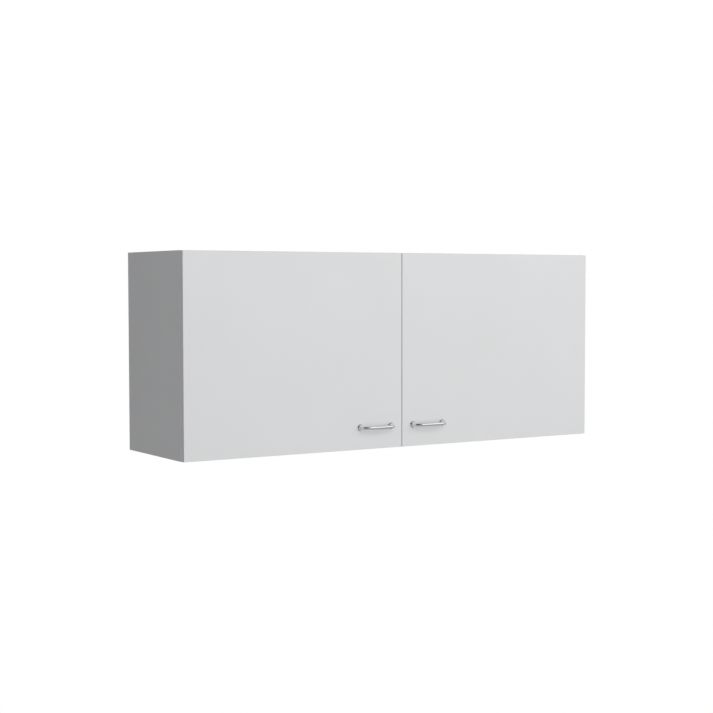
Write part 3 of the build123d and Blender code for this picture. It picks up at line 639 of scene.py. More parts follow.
@dataclass(frozen=True)
class WoodFinish(Finish):
    """Plain beech with short dark flecks along its length."""

    name: str
    light: Colour = (0.66, 0.45, 0.27)
    dark: Colour = (0.42, 0.25, 0.13)

    def paint(self, nodes: Nodes, place: Socket, shader: Node) -> None:
        """Adds long grain, flecks and a rough cut surface.

        Args:
            nodes: The material's nodes.
            place: The Object coordinates.
            shader: The shader to feed.
        """
        grain = nodes.noise(nodes.stretched(place, (45.0, 900.0, 900.0)), 1.0, 5.0, 0.6)
        fleck = nodes.ramp(nodes.noise(nodes.stretched(place, (300.0, 2600.0, 2600.0)), 1.0, 2.0), 0.62, 0.7)
        tone = nodes.mix(grain, rgba(self.dark), rgba(self.light))
        tone = nodes.mix(nodes.times(fleck, 0.5), tone, rgba(shade(self.dark, 0.6)))
        nodes.feed(tone, shader.inputs["Base Color"])
        nodes.feed(nodes.ramp(grain, 0.0, 1.0, 0.6, 0.8), shader.inputs["Roughness"])
        bump(nodes, shader, [(grain, 0.4, 0.0001), (fleck, 0.3, -0.00005)])


CHROME = MetalFinish(
    "polished_chrome", (0.80, 0.805, 0.815), 0.09, 0.02, 0.012, 0.000004, (90.0, 1800.0, 1800.0)
)
NICKEL = MetalFinish(
    "nickel_plated_steel", (0.64, 0.625, 0.60), 0.30, 0.12, 0.05, 0.00002, (2400.0, 2400.0, 90.0)
)
PRESSED_STEEL = MetalFinish(
    "zinc_plated_steel", (0.56, 0.56, 0.57), 0.36, 0.14, 0.09, 0.00003, (120.0, 1600.0, 1600.0)
)
ZINC = MetalFinish("cast_zinc", (0.47, 0.47, 0.465), 0.5, 0.1, 0.12, 0.00004, (900.0, 900.0, 900.0))
WHITE_PLASTIC = PlasticFinish("white_moulded_plastic", (0.80, 0.80, 0.785), 0.42)
GREY_PLASTIC = PlasticFinish("grey_moulded_plastic", (0.68, 0.685, 0.70), 0.5, 900.0)
SOFT_PAD = PlasticFinish("clear_soft_pad", (0.82, 0.83, 0.84), 0.25, 500.0, 0.35)
BEECH = WoodFinish("beech")


def cad(name: str) -> Piece:
    """A CAD node's object."""
    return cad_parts[name]


def board_finish(name: str, raw_rear: bool = False) -> BoardFinish:
    """The board finish for one CAD board, with that board's own box."""
    low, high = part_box(name)
    return BoardFinish(f"melamine_{name}", tuple(low), tuple(high), raw_rear)


def mesh_piece(name: str, mesh: Mesh, smooth_angle: float = SMOOTH_ANGLE) -> Piece:
    """Makes an object from a bmesh, with outward normals and smooth curved faces.

    Args:
        name: The piece's name.
        mesh: The finished bmesh, which is freed.
        smooth_angle: Edges sharper than this many degrees stay sharp.

    Returns:
        The object, linked to the scene.
    """
    bmesh.ops.remove_doubles(mesh, verts=mesh.verts, dist=MERGE_DISTANCE)
    bmesh.ops.recalc_face_normals(mesh, faces=mesh.faces)
    data = bpy.data.meshes.new(name)
    mesh.to_mesh(data)
    mesh.free()
    piece = bpy.data.objects.new(name, data)
    bpy.context.scene.collection.objects.link(piece)
    keep_creases(data, smooth_angle)
    return piece


def keep_creases(data: bpy.types.Mesh, angle: float) -> None:
    """Shades a mesh smooth and marks its sharp edges."""
    data.shade_smooth()
    data.set_sharp_from_angle(angle=math.radians(angle))


def lathe(rows: Sequence[tuple[Radius, float]], steps: int = 48) -> Mesh:
    """Turns a profile about the Z axis.

    Args:
        rows: Radius and height of each row, in metres, from one end on the axis to the other. A radius may
            be a function of the turn, so that a thread can wind round.
        steps: Number of steps round.

    Returns:
        A closed bmesh.
    """
    mesh = bmesh.new()
    rings: list[list[bmesh.types.BMVert]] = []
    for radius, height in rows:
        if radius == 0.0:
            rings.append([mesh.verts.new((0.0, 0.0, height))])
            continue
        ring = []
        for step in range(steps):
            turn = 2 * math.pi * step / steps
            reach = radius(turn) if callable(radius) else radius
            ring.append(mesh.verts.new((reach * math.cos(turn), reach * math.sin(turn), height)))
        rings.append(ring)
    for lower, upper in zip(rings, rings[1:]):
        for step in range(steps):
            after = (step + 1) % steps
            corners = [lower[step % len(lower)], lower[after % len(lower)]]
            corners += [upper[after % len(upper)], upper[step % len(upper)]]
            unique = list(dict.fromkeys(corners))
            if len(unique) > 2:
                mesh.faces.new(unique)
    return mesh


def arc(centre: Pair, radius: float, start: float, end: float, steps: int) -> list[Pair]:
    """Points along an arc of a profile.

    Args:
        centre: Radius and height of the arc's centre.
        radius: The arc's radius.
        start: Its first angle in degrees.
        end: Its last angle in degrees.
        steps: The number of steps between them.

    Returns:
        The points, both ends included.
    """
    angles = [math.radians(start + (end - start) * step / steps) for step in range(steps + 1)]
    return [(centre[0] + radius * math.cos(angle), centre[1] + radius * math.sin(angle)) for angle in angles]


def plain(piece: Piece) -> Piece:
    """Turns the result of a piece's modifiers into its plain mesh.

    Args:
        piece: The piece, whose modifiers are removed.

    Returns:
        The same piece.
    """
    evaluated = piece.evaluated_get(bpy.context.evaluated_depsgraph_get())
    result = bpy.data.meshes.new_from_object(evaluated)
    result.name = piece.name
    piece.modifiers.clear()
    piece.data = result
    return piece


def discard(piece: Piece) -> None:
    """Removes a helper object."""
    bpy.data.objects.remove(piece)


def carve(piece: Piece, cutter: Piece) -> None:
    """Cuts one closed piece out of another, and removes the cutter.

    Args:
        piece: The piece that is cut.
        cutter: The piece that cuts.
    """
    modifier = piece.modifiers.new("carve", "BOOLEAN")
    modifier.operation = "DIFFERENCE"
    modifier.solver = "EXACT"
    modifier.object = cutter
    plain(piece)
    discard(cutter)


def prism(outline: Sequence[Pair], low: float, high: float, taper: float = 1.0) -> Mesh:
    """A closed prism on an outline, with its lower face scaled by the taper.

    Args:
        outline: The top face's corners.
        low: The lower face's height.
        high: The top face's height.
        taper: The scale of the lower face.

    Returns:
        A closed bmesh.
    """
    mesh = bmesh.new()
    bottom = [mesh.verts.new((x * taper, y * taper, low)) for x, y in outline]
    top = [mesh.verts.new((x, y, high)) for x, y in outline]
    mesh.faces.new(bottom)
    mesh.faces.new(top)
    for step, corner in enumerate(bottom):
        after = (step + 1) % len(bottom)
        mesh.faces.new((corner, bottom[after], top[after], top[step]))
    return mesh


def geometry_tree(name: str, wanted: Inputs) -> tuple[Tree, Nodes, Any, Any]:
    """Starts a geometry node tree with a geometry output.

    Args:
        name: The tree's name.
        wanted: Name, socket type and default of each input.

    Returns:
        The tree, its nodes, its input outlets and its output inlets.
    """
    tree = bpy.data.node_groups.new(name, Kind.GEOMETRY.value)
    tree.interface.new_socket(name="Geometry", in_out="INPUT", socket_type="NodeSocketGeometry")
    for title, kind, value in wanted:
        socket = tree.interface.new_socket(name=title, in_out="INPUT", socket_type=kind)
        if value is not None:
            socket.default_value = value
    tree.interface.new_socket(name="Geometry", in_out="OUTPUT", socket_type="NodeSocketGeometry")
    source = tree.nodes.new("NodeGroupInput")
    sink = tree.nodes.new("NodeGroupOutput")
    return tree, Nodes(tree), source.outputs, sink.inputs


def give_out(nodes: Nodes, shape: Socket, source: Any, sink: Any) -> None:
    """Ends a tree: makes its copies real, puts the finish on them and gives them out.

    Args:
        nodes: The tree's nodes.
        shape: The geometry to give.
        source: The tree's input outlets.
        sink: The tree's output inlets.
    """
    real = nodes.add("GeometryNodeRealizeInstances", {0: shape})
    inputs = {"Geometry": real.outputs[0], "Material": source["Finish"]}
    nodes.feed(nodes.add("GeometryNodeSetMaterial", inputs).outputs[0], sink["Geometry"])


def run_tree(piece: Piece, tree: Tree, values: dict[str, Any]) -> Piece:
    """Runs a geometry tree on a piece and keeps the plain result.

    Args:
        piece: The piece to run it on.
        tree: The tree.
        values: A value for each named input.

    Returns:
        The same piece, with a plain mesh.
    """
    modifier = piece.modifiers.new("build", "NODES")
    modifier.node_group = tree
    for item in tree.interface.items_tree:
        if item.item_type == "SOCKET" and item.in_out == "INPUT" and item.name in values:
            modifier[item.identifier] = values[item.name]
    plain(piece)
    keep_creases(piece.data, SMOOTH_ANGLE)
    return piece


def scatter_tree(turn: Turn) -> Tree:
    """A tree that puts a copy of one object on every point, facing the way the point says.

    Args:
        turn: How each copy is turned.

    Returns:
        The tree, with named inputs for the object, the spin, the seed and the finish.
    """
    name = f"Repeated_{turn.name.lower()}"
    made = bpy.data.node_groups.get(name)
    if made is not None:
        return made
    wanted = [
        ("Original", "NodeSocketObject", None),
        ("Spin", FLOAT, 0.0),
        ("Seed", "NodeSocketInt", 0),
        ("Finish", "NodeSocketMaterial", None),
    ]
    tree, nodes, source, sink = geometry_tree(name, wanted)
    facing = nodes.add("GeometryNodeInputNamedAttribute", {"Name": "facing"}, data_type="FLOAT_VECTOR")
    axis, pivot = turn.value
    toward = {"Vector": facing.outputs[0]}
    align = nodes.add("FunctionNodeAlignRotationToVector", toward, axis=axis, pivot_axis=pivot)
    chance = nodes.add("FunctionNodeRandomValue", {"Seed": source["Seed"]}, data_type="FLOAT")
    nodes.feed(nodes.times(source["Spin"], -1.0), chance.inputs[2])
    nodes.feed(source["Spin"], chance.inputs[3])
    spin = nodes.add("ShaderNodeCombineXYZ", {2: chance.outputs[1]})
    own = nodes.add("FunctionNodeEulerToRotation", {0: spin.outputs[0]})
    turned = nodes.add(
        "FunctionNodeRotateRotation", {0: align.outputs[0], 1: own.outputs[0]}, rotation_space="LOCAL"
    )
    original = nodes.add("GeometryNodeObjectInfo", {"Object": source["Original"]})
    inputs = {"Points": source["Geometry"], "Instance": original.outputs["Geometry"]}
    copies = nodes.add("GeometryNodeInstanceOnPoints", {**inputs, "Rotation": turned.outputs[0]})
    give_out(nodes, copies.outputs[0], source, sink)
    return tree


@dataclass(frozen=True)
class Spot:
    """Where one repeated piece goes, and the way that it faces."""

    place: Vector
    facing: Vector

    @classmethod
    def at(cls, x: float, y: float, z: float, *facing: float) -> "Spot":
        """A spot from plain numbers."""
        return cls(Vector((x, y, z)), Vector(facing))


def repeat(
    name: str,
    original: Piece,
    spots: Sequence[Spot],
    finish: Finish,
    turn: Turn = Turn.HEAD_OUT,
    spin: float = 0.0,
) -> Piece:
    """Makes one mesh with a copy of a piece at every spot, and removes the original.

    Args:
        name: The new piece's name.
        original: The piece to copy, with its seat at the origin.
        spots: Where the copies go.
        finish: Their finish.
        turn: How they are turned.
        spin: How far each may be turned about its own axis, in radians.

    Returns:
        The new piece.
    """
    data = bpy.data.meshes.new(name)
    data.from_pydata([spot.place for spot in spots], [], [])
    facing = data.attributes.new("facing", "FLOAT_VECTOR", "POINT")
    for item, spot in zip(facing.data, spots):
        item.vector = spot.facing
    piece = bpy.data.objects.new(name, data)
    bpy.context.scene.collection.objects.link(piece)
    values = {"Original": original, "Spin": spin, "Seed": len(name), "Finish": finish.material()}
    run_tree(piece, scatter_tree(turn), values)
    discard(original)
    return piece


def settle(piece: Piece, body: str, slot: str, *nodes: str) -> None:
    """Puts a finished piece on its body, in the place of its CAD nodes, and reports it.

    Args:
        piece: The piece.
        body: The body that it rides on.
        slot: The record's material slot; not used.
        nodes: The CAD nodes that it stands for.
    """
    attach(piece, body)
    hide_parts(*nodes)
    LOG.info("%s rides on %s with %d faces", piece.name, body, len(piece.data.polygons))


@dataclass(frozen=True)
class ScrewShape:
    """A turned screw with a rounded head, a driver hole and a rolled thread. Sizes are in metres."""

    head_radius: float
    head: float
    shank_radius: float
    length: float
    pitch: float
    recess: Recess = Recess.CROSS
    point: float = 0.25
    edge: float = 0.0006
    thread_depth: float = 0.16
    steps: int = 32

    CROWN = 0.18
    CROWN_FALL = 0.4
    CROWN_RINGS = (0.4, 0.7)
    RIM_ANGLES = (80.0, 0.0)
    SEAT_EDGE = 0.0002
    ROWS_PER_PITCH = 4
    TIP_WIDTH = 0.35
    HEXAGON_REACH = 0.42
    CROSS_REACH = 0.56
    CROSS_HALF_WIDTH = 0.12
    CROSS_HEART = 1.5
    HOLE_FLOOR = 0.35
    HOLE_TOP = 1.3
    HOLE_TAPER = 0.6

    def head_rows(self) -> list[tuple[Radius, float]]:
        """The head, from the middle of its top to the edge of its seat.

        Returns:
            Radius and height of each row.
        """
        crown = self.head * self.CROWN
        rows: list[tuple[Radius, float]] = [(0.0, self.head)]
        flat = self.head_radius - self.edge
        for part in self.CROWN_RINGS:
            rows.append((flat * part, self.head - crown * part**2 * self.CROWN_FALL))
        top = self.head - self.edge - crown * self.CROWN_FALL
        rim = arc((flat, top), self.edge, *self.RIM_ANGLES, 5)
        return rows + rim + [(self.head_radius, self.SEAT_EDGE), (self.head_radius - self.SEAT_EDGE, 0.0)]

    def shank_rows(self) -> list[tuple[Radius, float]]:
        """The shank with its thread, from under the head to its tip.

        Returns:
            Radius and height of each row.
        """
        depth = self.shank_radius * self.thread_depth
        count = max(self.ROWS_PER_PITCH, round(self.length / self.pitch * self.ROWS_PER_PITCH))
        rows: list[tuple[Radius, float]] = [(self.shank_radius - depth, 0.0)]
        for step in range(1, count):
            down = self.length * step / count
            narrow = min(1.0, self.TIP_WIDTH + (1 - self.TIP_WIDTH) * (1 - step / count) / self.point)
            rows.append((self.thread(down, depth, narrow), -down))
        return rows + [(0.0, -self.length)]

    def thread(self, down: float, depth: float, narrow: float) -> Callable[[float], float]:
        """How the radius changes round the shank at one height.

        Args:
            down: The distance under the head.
            depth: The thread's depth.
            narrow: The factor that makes the tip thinner.

        Returns:
            The radius, as a function of the turn.
        """

        def radius(turn: float) -> float:
            """The radius at one turn."""
            along = (down / self.pitch - turn / (2 * math.pi)) % 1.0
            return narrow * (self.shank_radius - depth * abs(2 * along - 1))

        return radius

    def recess_outline(self) -> list[Pair]:
        """The outline of the driver hole.

        Returns:
            Its corners.
        """
        if self.recess is Recess.HEXAGON:
            return arc((0.0, 0.0), self.head_radius * self.HEXAGON_REACH, 0.0, 300.0, 5)
        long, wide = self.head_radius * self.CROSS_REACH, self.head_radius * self.CROSS_HALF_WIDTH
        quarter = [(long, -wide), (long, wide), (wide * self.CROSS_HEART, wide * self.CROSS_HEART)]
        corners = []
        for turn in range(4):
            cos, sin = math.cos(turn * math.pi / 2), math.sin(turn * math.pi / 2)
            corners += [(x * cos - y * sin, x * sin + y * cos) for x, y in quarter]
        return corners

    def build(self) -> Piece:
        """Makes one screw with its seat at the origin and its head up.

        Returns:
            The screw.
        """
        screw = mesh_piece("screw", lathe(self.head_rows() + self.shank_rows(), self.steps))
        floor, top = self.head * self.HOLE_FLOOR, self.head * self.HOLE_TOP
        hole = prism(self.recess_outline(), floor, top, self.HOLE_TAPER)
        carve(screw, mesh_piece("driver_hole", hole))
        return screw


@dataclass
class Studio:
    """The floor, the lights and the camera."""

    floor_drop: float = 0.62
    lens: float = 73.044
    yaw: float = 32.1066
    pitch: float = 2.8446
    roll: float = -0.0662
    eye: Triple = (-2.01394, -3.30626, -0.02399)
    panel_direction: Triple = (0.50, -0.86, 0.05)
    panel_angles: Pair = (52.0, 38.0)
    panel_strength: float = 1.4
    flag_direction: Triple = (-0.94, -0.34, 0.0)
    flag_angles: Pair = (40.0, 30.0)
    flag_strength: float = 0.0
    flag_tall: float = 0.45
    sky_strength: float = 0.352
    sky_colour: Colour = (0.985, 0.99, 1.0)
    floor_colour: Colour = (0.62, 0.62, 0.62)
    floor_size: float = 60.0
    key_at: Triple = (1.7, -3.9, 0.85)
    key_to: Triple = (1.7, 0.0, 0.85)
    key_size: Pair = (9.0, 3.9)
    key_power: float = 170.0
    sensor: float = 36.0
    clip: Pair = (0.05, 200.0)

    def build(self) -> None:
        """Builds the whole studio."""
        scene = bpy.context.scene
        scene.view_settings.view_transform = "Standard"
        self.build_floor()
        self.build_sky()
        self.build_key()
        scene.camera = self.build_camera()

    def build_floor(self) -> None:
        """A wide pale floor, well under the cabinet."""
        mesh = bmesh.new()
        bmesh.ops.create_grid(mesh, x_segments=2, y_segments=2, size=self.floor_size)
        level = CAD_BOX[0][2] - self.floor_drop
        bmesh.ops.translate(mesh, verts=mesh.verts, vec=(0.0, 0.0, level))
        floor = mesh_piece("studio_floor", mesh)
        floor.data.materials.append(self.floor_material())

    def floor_material(self) -> bpy.types.Material:
        """A pale, evenly lit floor.

        Returns:
            The material.
        """
        made = bpy.data.materials.new("pale_floor")
        nodes = emptied(made)
        glow = nodes.add("ShaderNodeEmission", {"Color": rgba(WHITE), "Strength": 1.0})
        matte = nodes.add("ShaderNodeBsdfDiffuse", {"Color": rgba(self.floor_colour)})
        seen = nodes.add("ShaderNodeLightPath").outputs["Is Camera Ray"]
        mix = nodes.add("ShaderNodeMixShader", {0: seen, 1: matte.outputs[0], 2: glow.outputs[0]})
        output = nodes.add("ShaderNodeOutputMaterial")
        nodes.feed(mix.outputs[0], output.inputs["Surface"])
        return made

    def build_sky(self) -> None:
        """A sky that is white to the camera, even to the boards, and zoned only in reflections."""
        world = bpy.data.worlds.new("studio")
        nodes = emptied(world)
        rays = nodes.add("ShaderNodeLightPath").outputs
        white = nodes.add("ShaderNodeBackground", {"Color": rgba(WHITE), "Strength": 1.0})
        toward = nodes.add("ShaderNodeTexCoord").outputs["Generated"]
        panel = self.zone(nodes, toward, self.panel_direction, self.panel_angles)
        level = nodes.vector("NORMALIZE", nodes.vector("MULTIPLY", toward, (1.0, 1.0, self.flag_tall)))
        flag = self.zone(nodes, level, self.flag_direction, self.flag_angles)
        lit = nodes.ramp(panel, 0.0, 1.0, self.sky_strength, self.panel_strength)
        shown = nodes.times(lit, nodes.ramp(flag, 0.0, 1.0, 1.0, self.flag_strength))
        inputs = {0: rays["Is Glossy Ray"], 2: self.sky_strength, 3: shown}
        strength = nodes.add("ShaderNodeMix", inputs).outputs[0]
        soft = nodes.add("ShaderNodeBackground", {"Color": rgba(self.sky_colour), "Strength": strength})
        inputs = {0: rays["Is Camera Ray"], 1: soft.outputs[0], 2: white.outputs[0]}
        mix = nodes.add("ShaderNodeMixShader", inputs)
        output = nodes.add("ShaderNodeOutputWorld")
        nodes.feed(mix.outputs[0], output.inputs["Surface"])
        bpy.context.scene.world = world

    def zone(
        self, nodes: Nodes, toward: Any, direction: Sequence[float], angles: Pair
    ) -> Socket:
        """A round zone of the sky with a soft edge.

        Args:
            nodes: The sky's nodes.
            toward: The direction that is looked in.
            direction: The middle of the zone.
            angles: How far from the middle the zone starts and is whole, in degrees.

        Returns:
            A mask that is 1 inside the zone.
        """
        inputs = {0: toward, 1: Vector(direction).normalized()}
        lined_up = nodes.add("ShaderNodeVectorMath", inputs, operation="DOT_PRODUCT")
        edge, heart = (math.cos(math.radians(angle)) for angle in angles)
        return nodes.ramp(lined_up.outputs["Value"], edge, heart)

    def build_key(self) -> None:
        """The one soft light, in front, which lights the boards and isn't mirrored in the metal."""
        data = bpy.data.lights.new("key", "AREA")
        data.shape = "RECTANGLE"
        data.size, data.size_y = self.key_size
        data.energy = self.key_power
        light = bpy.data.objects.new("key", data)
        light.location = self.key_at
        light.visible_glossy = False
        light.rotation_euler = (Vector(self.key_to) - Vector(self.key_at)).to_track_quat("-Z", "Y").to_euler()
        bpy.context.scene.collection.objects.link(light)

    def build_camera(self) -> Piece:
        """The camera, turned by yaw, pitch and roll.

        Returns:
            The camera's object.
        """
        yaw, pitch, roll = (math.radians(angle) for angle in (self.yaw, self.pitch, self.roll))
        forward = Vector((math.sin(yaw) * math.cos(pitch), math.cos(yaw) * math.cos(pitch), -math.sin(pitch)))
        level = Vector((math.cos(yaw), -math.sin(yaw), 0.0))
        upright = level.cross(forward)
        right = level * math.cos(roll) + upright * math.sin(roll)
        up = upright * math.cos(roll) - level * math.sin(roll)
        data = bpy.data.cameras.new("camera")
        data.sensor_width = self.sensor
        data.lens = self.lens
        data.clip_start, data.clip_end = self.clip
        camera = bpy.data.objects.new("camera", data)
        turn = Matrix((right, up, -forward)).transposed().to_4x4()
        camera.matrix_world = Matrix.Translation(Vector(self.eye)) @ turn
        bpy.context.scene.collection.objects.link(camera)
        return camera


@dataclass
class Carcass:
    """The boards that do not move, and the thin back."""

    boards: tuple[str, ...] = ("left_side_panel", "right_side_panel", "top_panel", "bottom_panel")
    inner: tuple[str, ...] = ("centre_partition", "left_shelf", "right_shelf")
    back: str = "back_panel"

    def build(self) -> None:
        """Dresses each board with a finish that knows its box."""
        for name in (*self.boards, *self.inner):
            board_finish(name, raw_rear=True).dress(cad(name))
        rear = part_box(self.back)[1][1]
        SheetFinish("lacquered_hardboard", rear).dress(cad(self.back))


@dataclass
class Doors:
    """The two slab doors and their buffers."""

    edge: float = 0.0003
    dome: float = 0.0004
    dome_ring: Pair = (0.55, 0.3)

    def build(self) -> None:
        """Dresses the doors and makes their buffers."""
        for side in SIDES:
            board_finish(f"{side}_door").dress(cad(f"{side}_door"))
            self.build_buffers(side)

    def build_buffers(self, side: str) -> None:
        """Two domed pads in the free corners of one door.

        Args:
            side: The side that the door is on.
        """
        low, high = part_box(f"{side}_door_buffers")
        radius, thick = (high.x - low.x) / 2, high.y - low.y
        rim = arc((radius - self.edge, thick - self.dome - self.edge), self.edge, 0.0, 80.0, 4)
        across, down = self.dome_ring
        rows = [(0.0, 0.0), (radius, 0.0), *rim, (radius * across, thick - self.dome * down), (0.0, thick)]
        heights = (low.z + radius, high.z - radius)
        spots = [Spot.at(low.x + radius, low.y, height, 0, 1, 0) for height in heights]
        pads = repeat(f"{side}_soft_pads", mesh_piece("pad", lathe(rows, 32)), spots, SOFT_PAD)
        settle(pads, f"{side}_door", "buffer", f"{side}_door_buffers")


@dataclass
class Handles:
    """A bow bar on two turned feet, low at the free corner of each door."""

    bar_radius: float = 0.004
    bend: float = 0.0185
    rim: float = 0.0014
    neck: float = 0.0009
    soft: float = 0.0003
    hollow: float = 0.0006
    hollow_steps: int = 8
    bend_steps: int = 20
    bar_steps: int = 40
    screw_shank: float = 0.002
    screw_pitch: float = 0.0007
    screw_point: float = 0.06

    def build(self) -> None:
        """Makes both handles with their screws."""
        tree = self.bar_tree()
        for side in SIDES:
            self.build_bar(side, tree)
            self.build_feet(side)
            self.build_screws(side)

    def bar_tree(self) -> Tree:
        """The tree that bends a round bar over two legs.

        Returns:
            The tree, with named inputs for every size.
        """
        names = ("Low end", "High end", "Door face", "Front", "Level", "Bend", "Bar radius")
        wanted = [(name, FLOAT, 0.0) for name in names] + [("Finish", "NodeSocketMaterial", None)]
        tree, nodes, source, sink = geometry_tree("BowBar", wanted)
        depths = ("Door face", "Front", "Front", "Door face")
        plan = tuple(zip(("Low end", "Low end", "High end", "High end"), depths))
        line = nodes.add("GeometryNodeMeshLine", {"Count": len(plan)})
        choose = nodes.add("GeometryNodeIndexSwitch", data_type="VECTOR")
        for _ in range(len(plan) - 2):
            choose.index_switch_items.new()
        for number, (across, depth) in enumerate(plan, start=1):
            inputs = {0: source[across], 1: source[depth], 2: source["Level"]}
            nodes.feed(nodes.add("ShaderNodeCombineXYZ", inputs).outputs[0], choose.inputs[number])
        nodes.feed(nodes.add("GeometryNodeInputIndex").outputs[0], choose.inputs[0])
        inputs = {"Geometry": line.outputs[0], "Position": choose.outputs[0]}
        placed = nodes.add("GeometryNodeSetPosition", inputs)
        curve = nodes.add("GeometryNodeMeshToCurve", {0: placed.outputs[0]})
        inputs = {"Curve": curve.outputs[0], "Radius": source["Bend"], "Count": self.bend_steps}
        bent = nodes.add("GeometryNodeFilletCurve", inputs, mode="POLY")
        inputs = {"Resolution": self.bar_steps, "Radius": source["Bar radius"]}
        ring = nodes.add("GeometryNodeCurvePrimitiveCircle", inputs)
        inputs = {"Curve": bent.outputs[0], "Profile Curve": ring.outputs[0], "Fill Caps": True}
        bar = nodes.add("GeometryNodeCurveToMesh", inputs)
        give_out(nodes, bar.outputs[0], source, sink)
        return tree

    def build_bar(self, side: str, tree: Tree) -> None:
        """One bow bar, on the box of its CAD bar.

        Args:
            side: The side that the door is on.
            tree: The tree that bends the bar.
        """
        low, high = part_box(f"{side}_handle_bar")
        bar = mesh_piece(f"{side}_bow_bar", bmesh.new())
        values = {
            "Low end": low.x + self.bar_radius,
            "High end": high.x - self.bar_radius,
            "Door face": high.y,
            "Front": low.y + self.bar_radius,
            "Level": (low.z + high.z) / 2,
            "Bend": self.bend,
            "Bar radius": self.bar_radius,
            "Finish": CHROME.material(),
        }
        run_tree(bar, tree, values)
        settle(bar, f"{side}_door", "chrome", f"{side}_handle_bar")

    def build_feet(self, side: str) -> None:
        """Two turned feet, with a rim on the door and a narrow neck round the bar.

        Args:
            side: The side that the door is on.
        """
        low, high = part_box(f"{side}_handle_feet")
        radius, height = (high.z - low.z) / 2, high.y - low.y
        neck = self.bar_radius + self.neck
        rim = arc((radius - self.soft, self.rim - self.soft), self.soft, 0.0, 60.0, 4)
        lip = arc((neck - self.soft, height - self.soft), self.soft, 30.0, 90.0, 4)
        hollow = []
        for step in range(1, self.hollow_steps):
            part = step / self.hollow_steps
            sag = self.hollow * math.sin(math.pi * part)
            reach = radius + (neck - radius) * part - sag
            hollow.append((reach, self.rim + (height - self.rim) * part - sag))
        rows = [(0.0, 0.0), (radius, 0.0), *rim, *hollow, *lip, (self.bar_radius, height), (0.0, height)]
        level = (low.z + high.z) / 2
        ends = (low.x + radius, high.x - radius)
        spots = [Spot.at(end, high.y, level, 0, -1, 0) for end in ends]
        feet = repeat(f"{side}_turned_feet", mesh_piece("foot", lathe(rows, 64)), spots, CHROME)
        settle(feet, f"{side}_door", "chrome", f"{side}_handle_feet")

    def build_screws(self, side: str) -> None:
        """Two machine screws with their heads inside the door.

        Args:
            side: The side that the door is on.
        """
        low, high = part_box(f"{side}_handle_screws")
        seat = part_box(f"{side}_door")[1].y
        radius = (high.z - low.z) / 2
        shape = ScrewShape(
            radius, high.y - seat, self.screw_shank, seat - low.y, self.screw_pitch, point=self.screw_point
        )
        level = (low.z + high.z) / 2
        ends = (low.x + radius, high.x - radius)
        spots = [Spot.at(end, seat, level, 0, 1, 0) for end in ends]
        screws = repeat(f"{side}_pull_screws", shape.build(), spots, NICKEL, spin=SCREW_SPIN)
        settle(screws, f"{side}_door", "nickel_steel", f"{side}_handle_screws")


@dataclass
class Hinges:
    """Four cup hinges: their pressed pieces keep the CAD shape, and their screws are turned and threaded."""

    cup_screw: ScrewShape = ScrewShape(0.0034, 0.0015, 0.00175, 0.0117, 0.0013, point=0.4, thread_depth=0.26)
    plate_screw: ScrewShape = ScrewShape(0.0042, 0.0016, 0.0025, 0.014, 0.0016, point=0.3, thread_depth=0.26)
    arm_screw: ScrewShape = ScrewShape(0.004, 0.0016, 0.0025, 0.0052, 0.0008, point=0.15)
    cup_wing: float = 0.0055
    plate_foot: float = 0.002
    plate_screw_half_gap: float = 0.016

    def build(self) -> None:
        """Dresses the hinges and makes their screws."""
        NICKEL.dress(cad("hinge_arm_pins"))
        for side in SIDES:
            NICKEL.dress(cad(f"{side}_cup_pins"))
            for level in LEVELS:
                for part in ("plate", "arm", "cup", "outer_link", "inner_link"):
                    NICKEL.dress(cad(f"{side}_{level}_hinge_{part}"))
            self.build_cup_screws(side)
        self.build_plate_screws()
        self.build_arm_screws()

    def build_cup_screws(self, side: str) -> None:
        """Four wood screws through the wings of one door's cups.

        Args:
            side: The side that the door is on.
        """
        low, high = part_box(f"{side}_cup_screws")
        seat = high.y - self.cup_screw.head
        spots = []
        for level in LEVELS:
            cup_low, cup_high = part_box(f"{side}_{level}_hinge_cup")
            for height in (cup_low.z + self.cup_wing, cup_high.z - self.cup_wing):
                spots.append(Spot.at((low.x + high.x) / 2, seat, height, 0, 1, 0))
        screws = repeat(f"{side}_cup_wood_screws", self.cup_screw.build(), spots, NICKEL, spin=SCREW_SPIN)
        settle(screws, f"{side}_door", "nickel_steel", f"{side}_cup_screws")

    def build_plate_screws(self) -> None:
        """Eight system screws through the wings of the mounting plates."""
        low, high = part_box("hinge_plate_screws")
        line = (low.y + high.y) / 2
        spots = []
        for side, way in SIDES.items():
            for level in LEVELS:
                plate_low, plate_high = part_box(f"{side}_{level}_hinge_plate")
                wall = plate_high.x if way > 0 else plate_low.x
                seat, centre = wall - way * self.plate_foot, (plate_low.z + plate_high.z) / 2
                for half in (-self.plate_screw_half_gap, self.plate_screw_half_gap):
                    spots.append(Spot.at(seat, line, centre + half, -way, 0, 0))
        screws = repeat("plate_system_screws", self.plate_screw.build(), spots, NICKEL, spin=SCREW_SPIN)
        settle(screws, "carcass", "nickel_steel", "hinge_plate_screws")

    def build_arm_screws(self) -> None:
        """An adjusting and a clamping screw on each arm."""
        low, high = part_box("hinge_arm_screws")
        radius = self.arm_screw.head_radius
        spots = []
        for side, way in SIDES.items():
            for level in LEVELS:
                arm_low, arm_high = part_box(f"{side}_{level}_hinge_arm")
                seat = way * (high.x - self.arm_screw.length)
                for line in (low.y + radius, high.y - radius):
                    spots.append(Spot.at(seat, line, (arm_low.z + arm_high.z) / 2, -way, 0, 0))
        screws = repeat("arm_machine_screws", self.arm_screw.build(), spots, PRESSED_STEEL, spin=SCREW_SPIN)
        settle(screws, "carcass", "nickel_steel", "hinge_arm_screws")


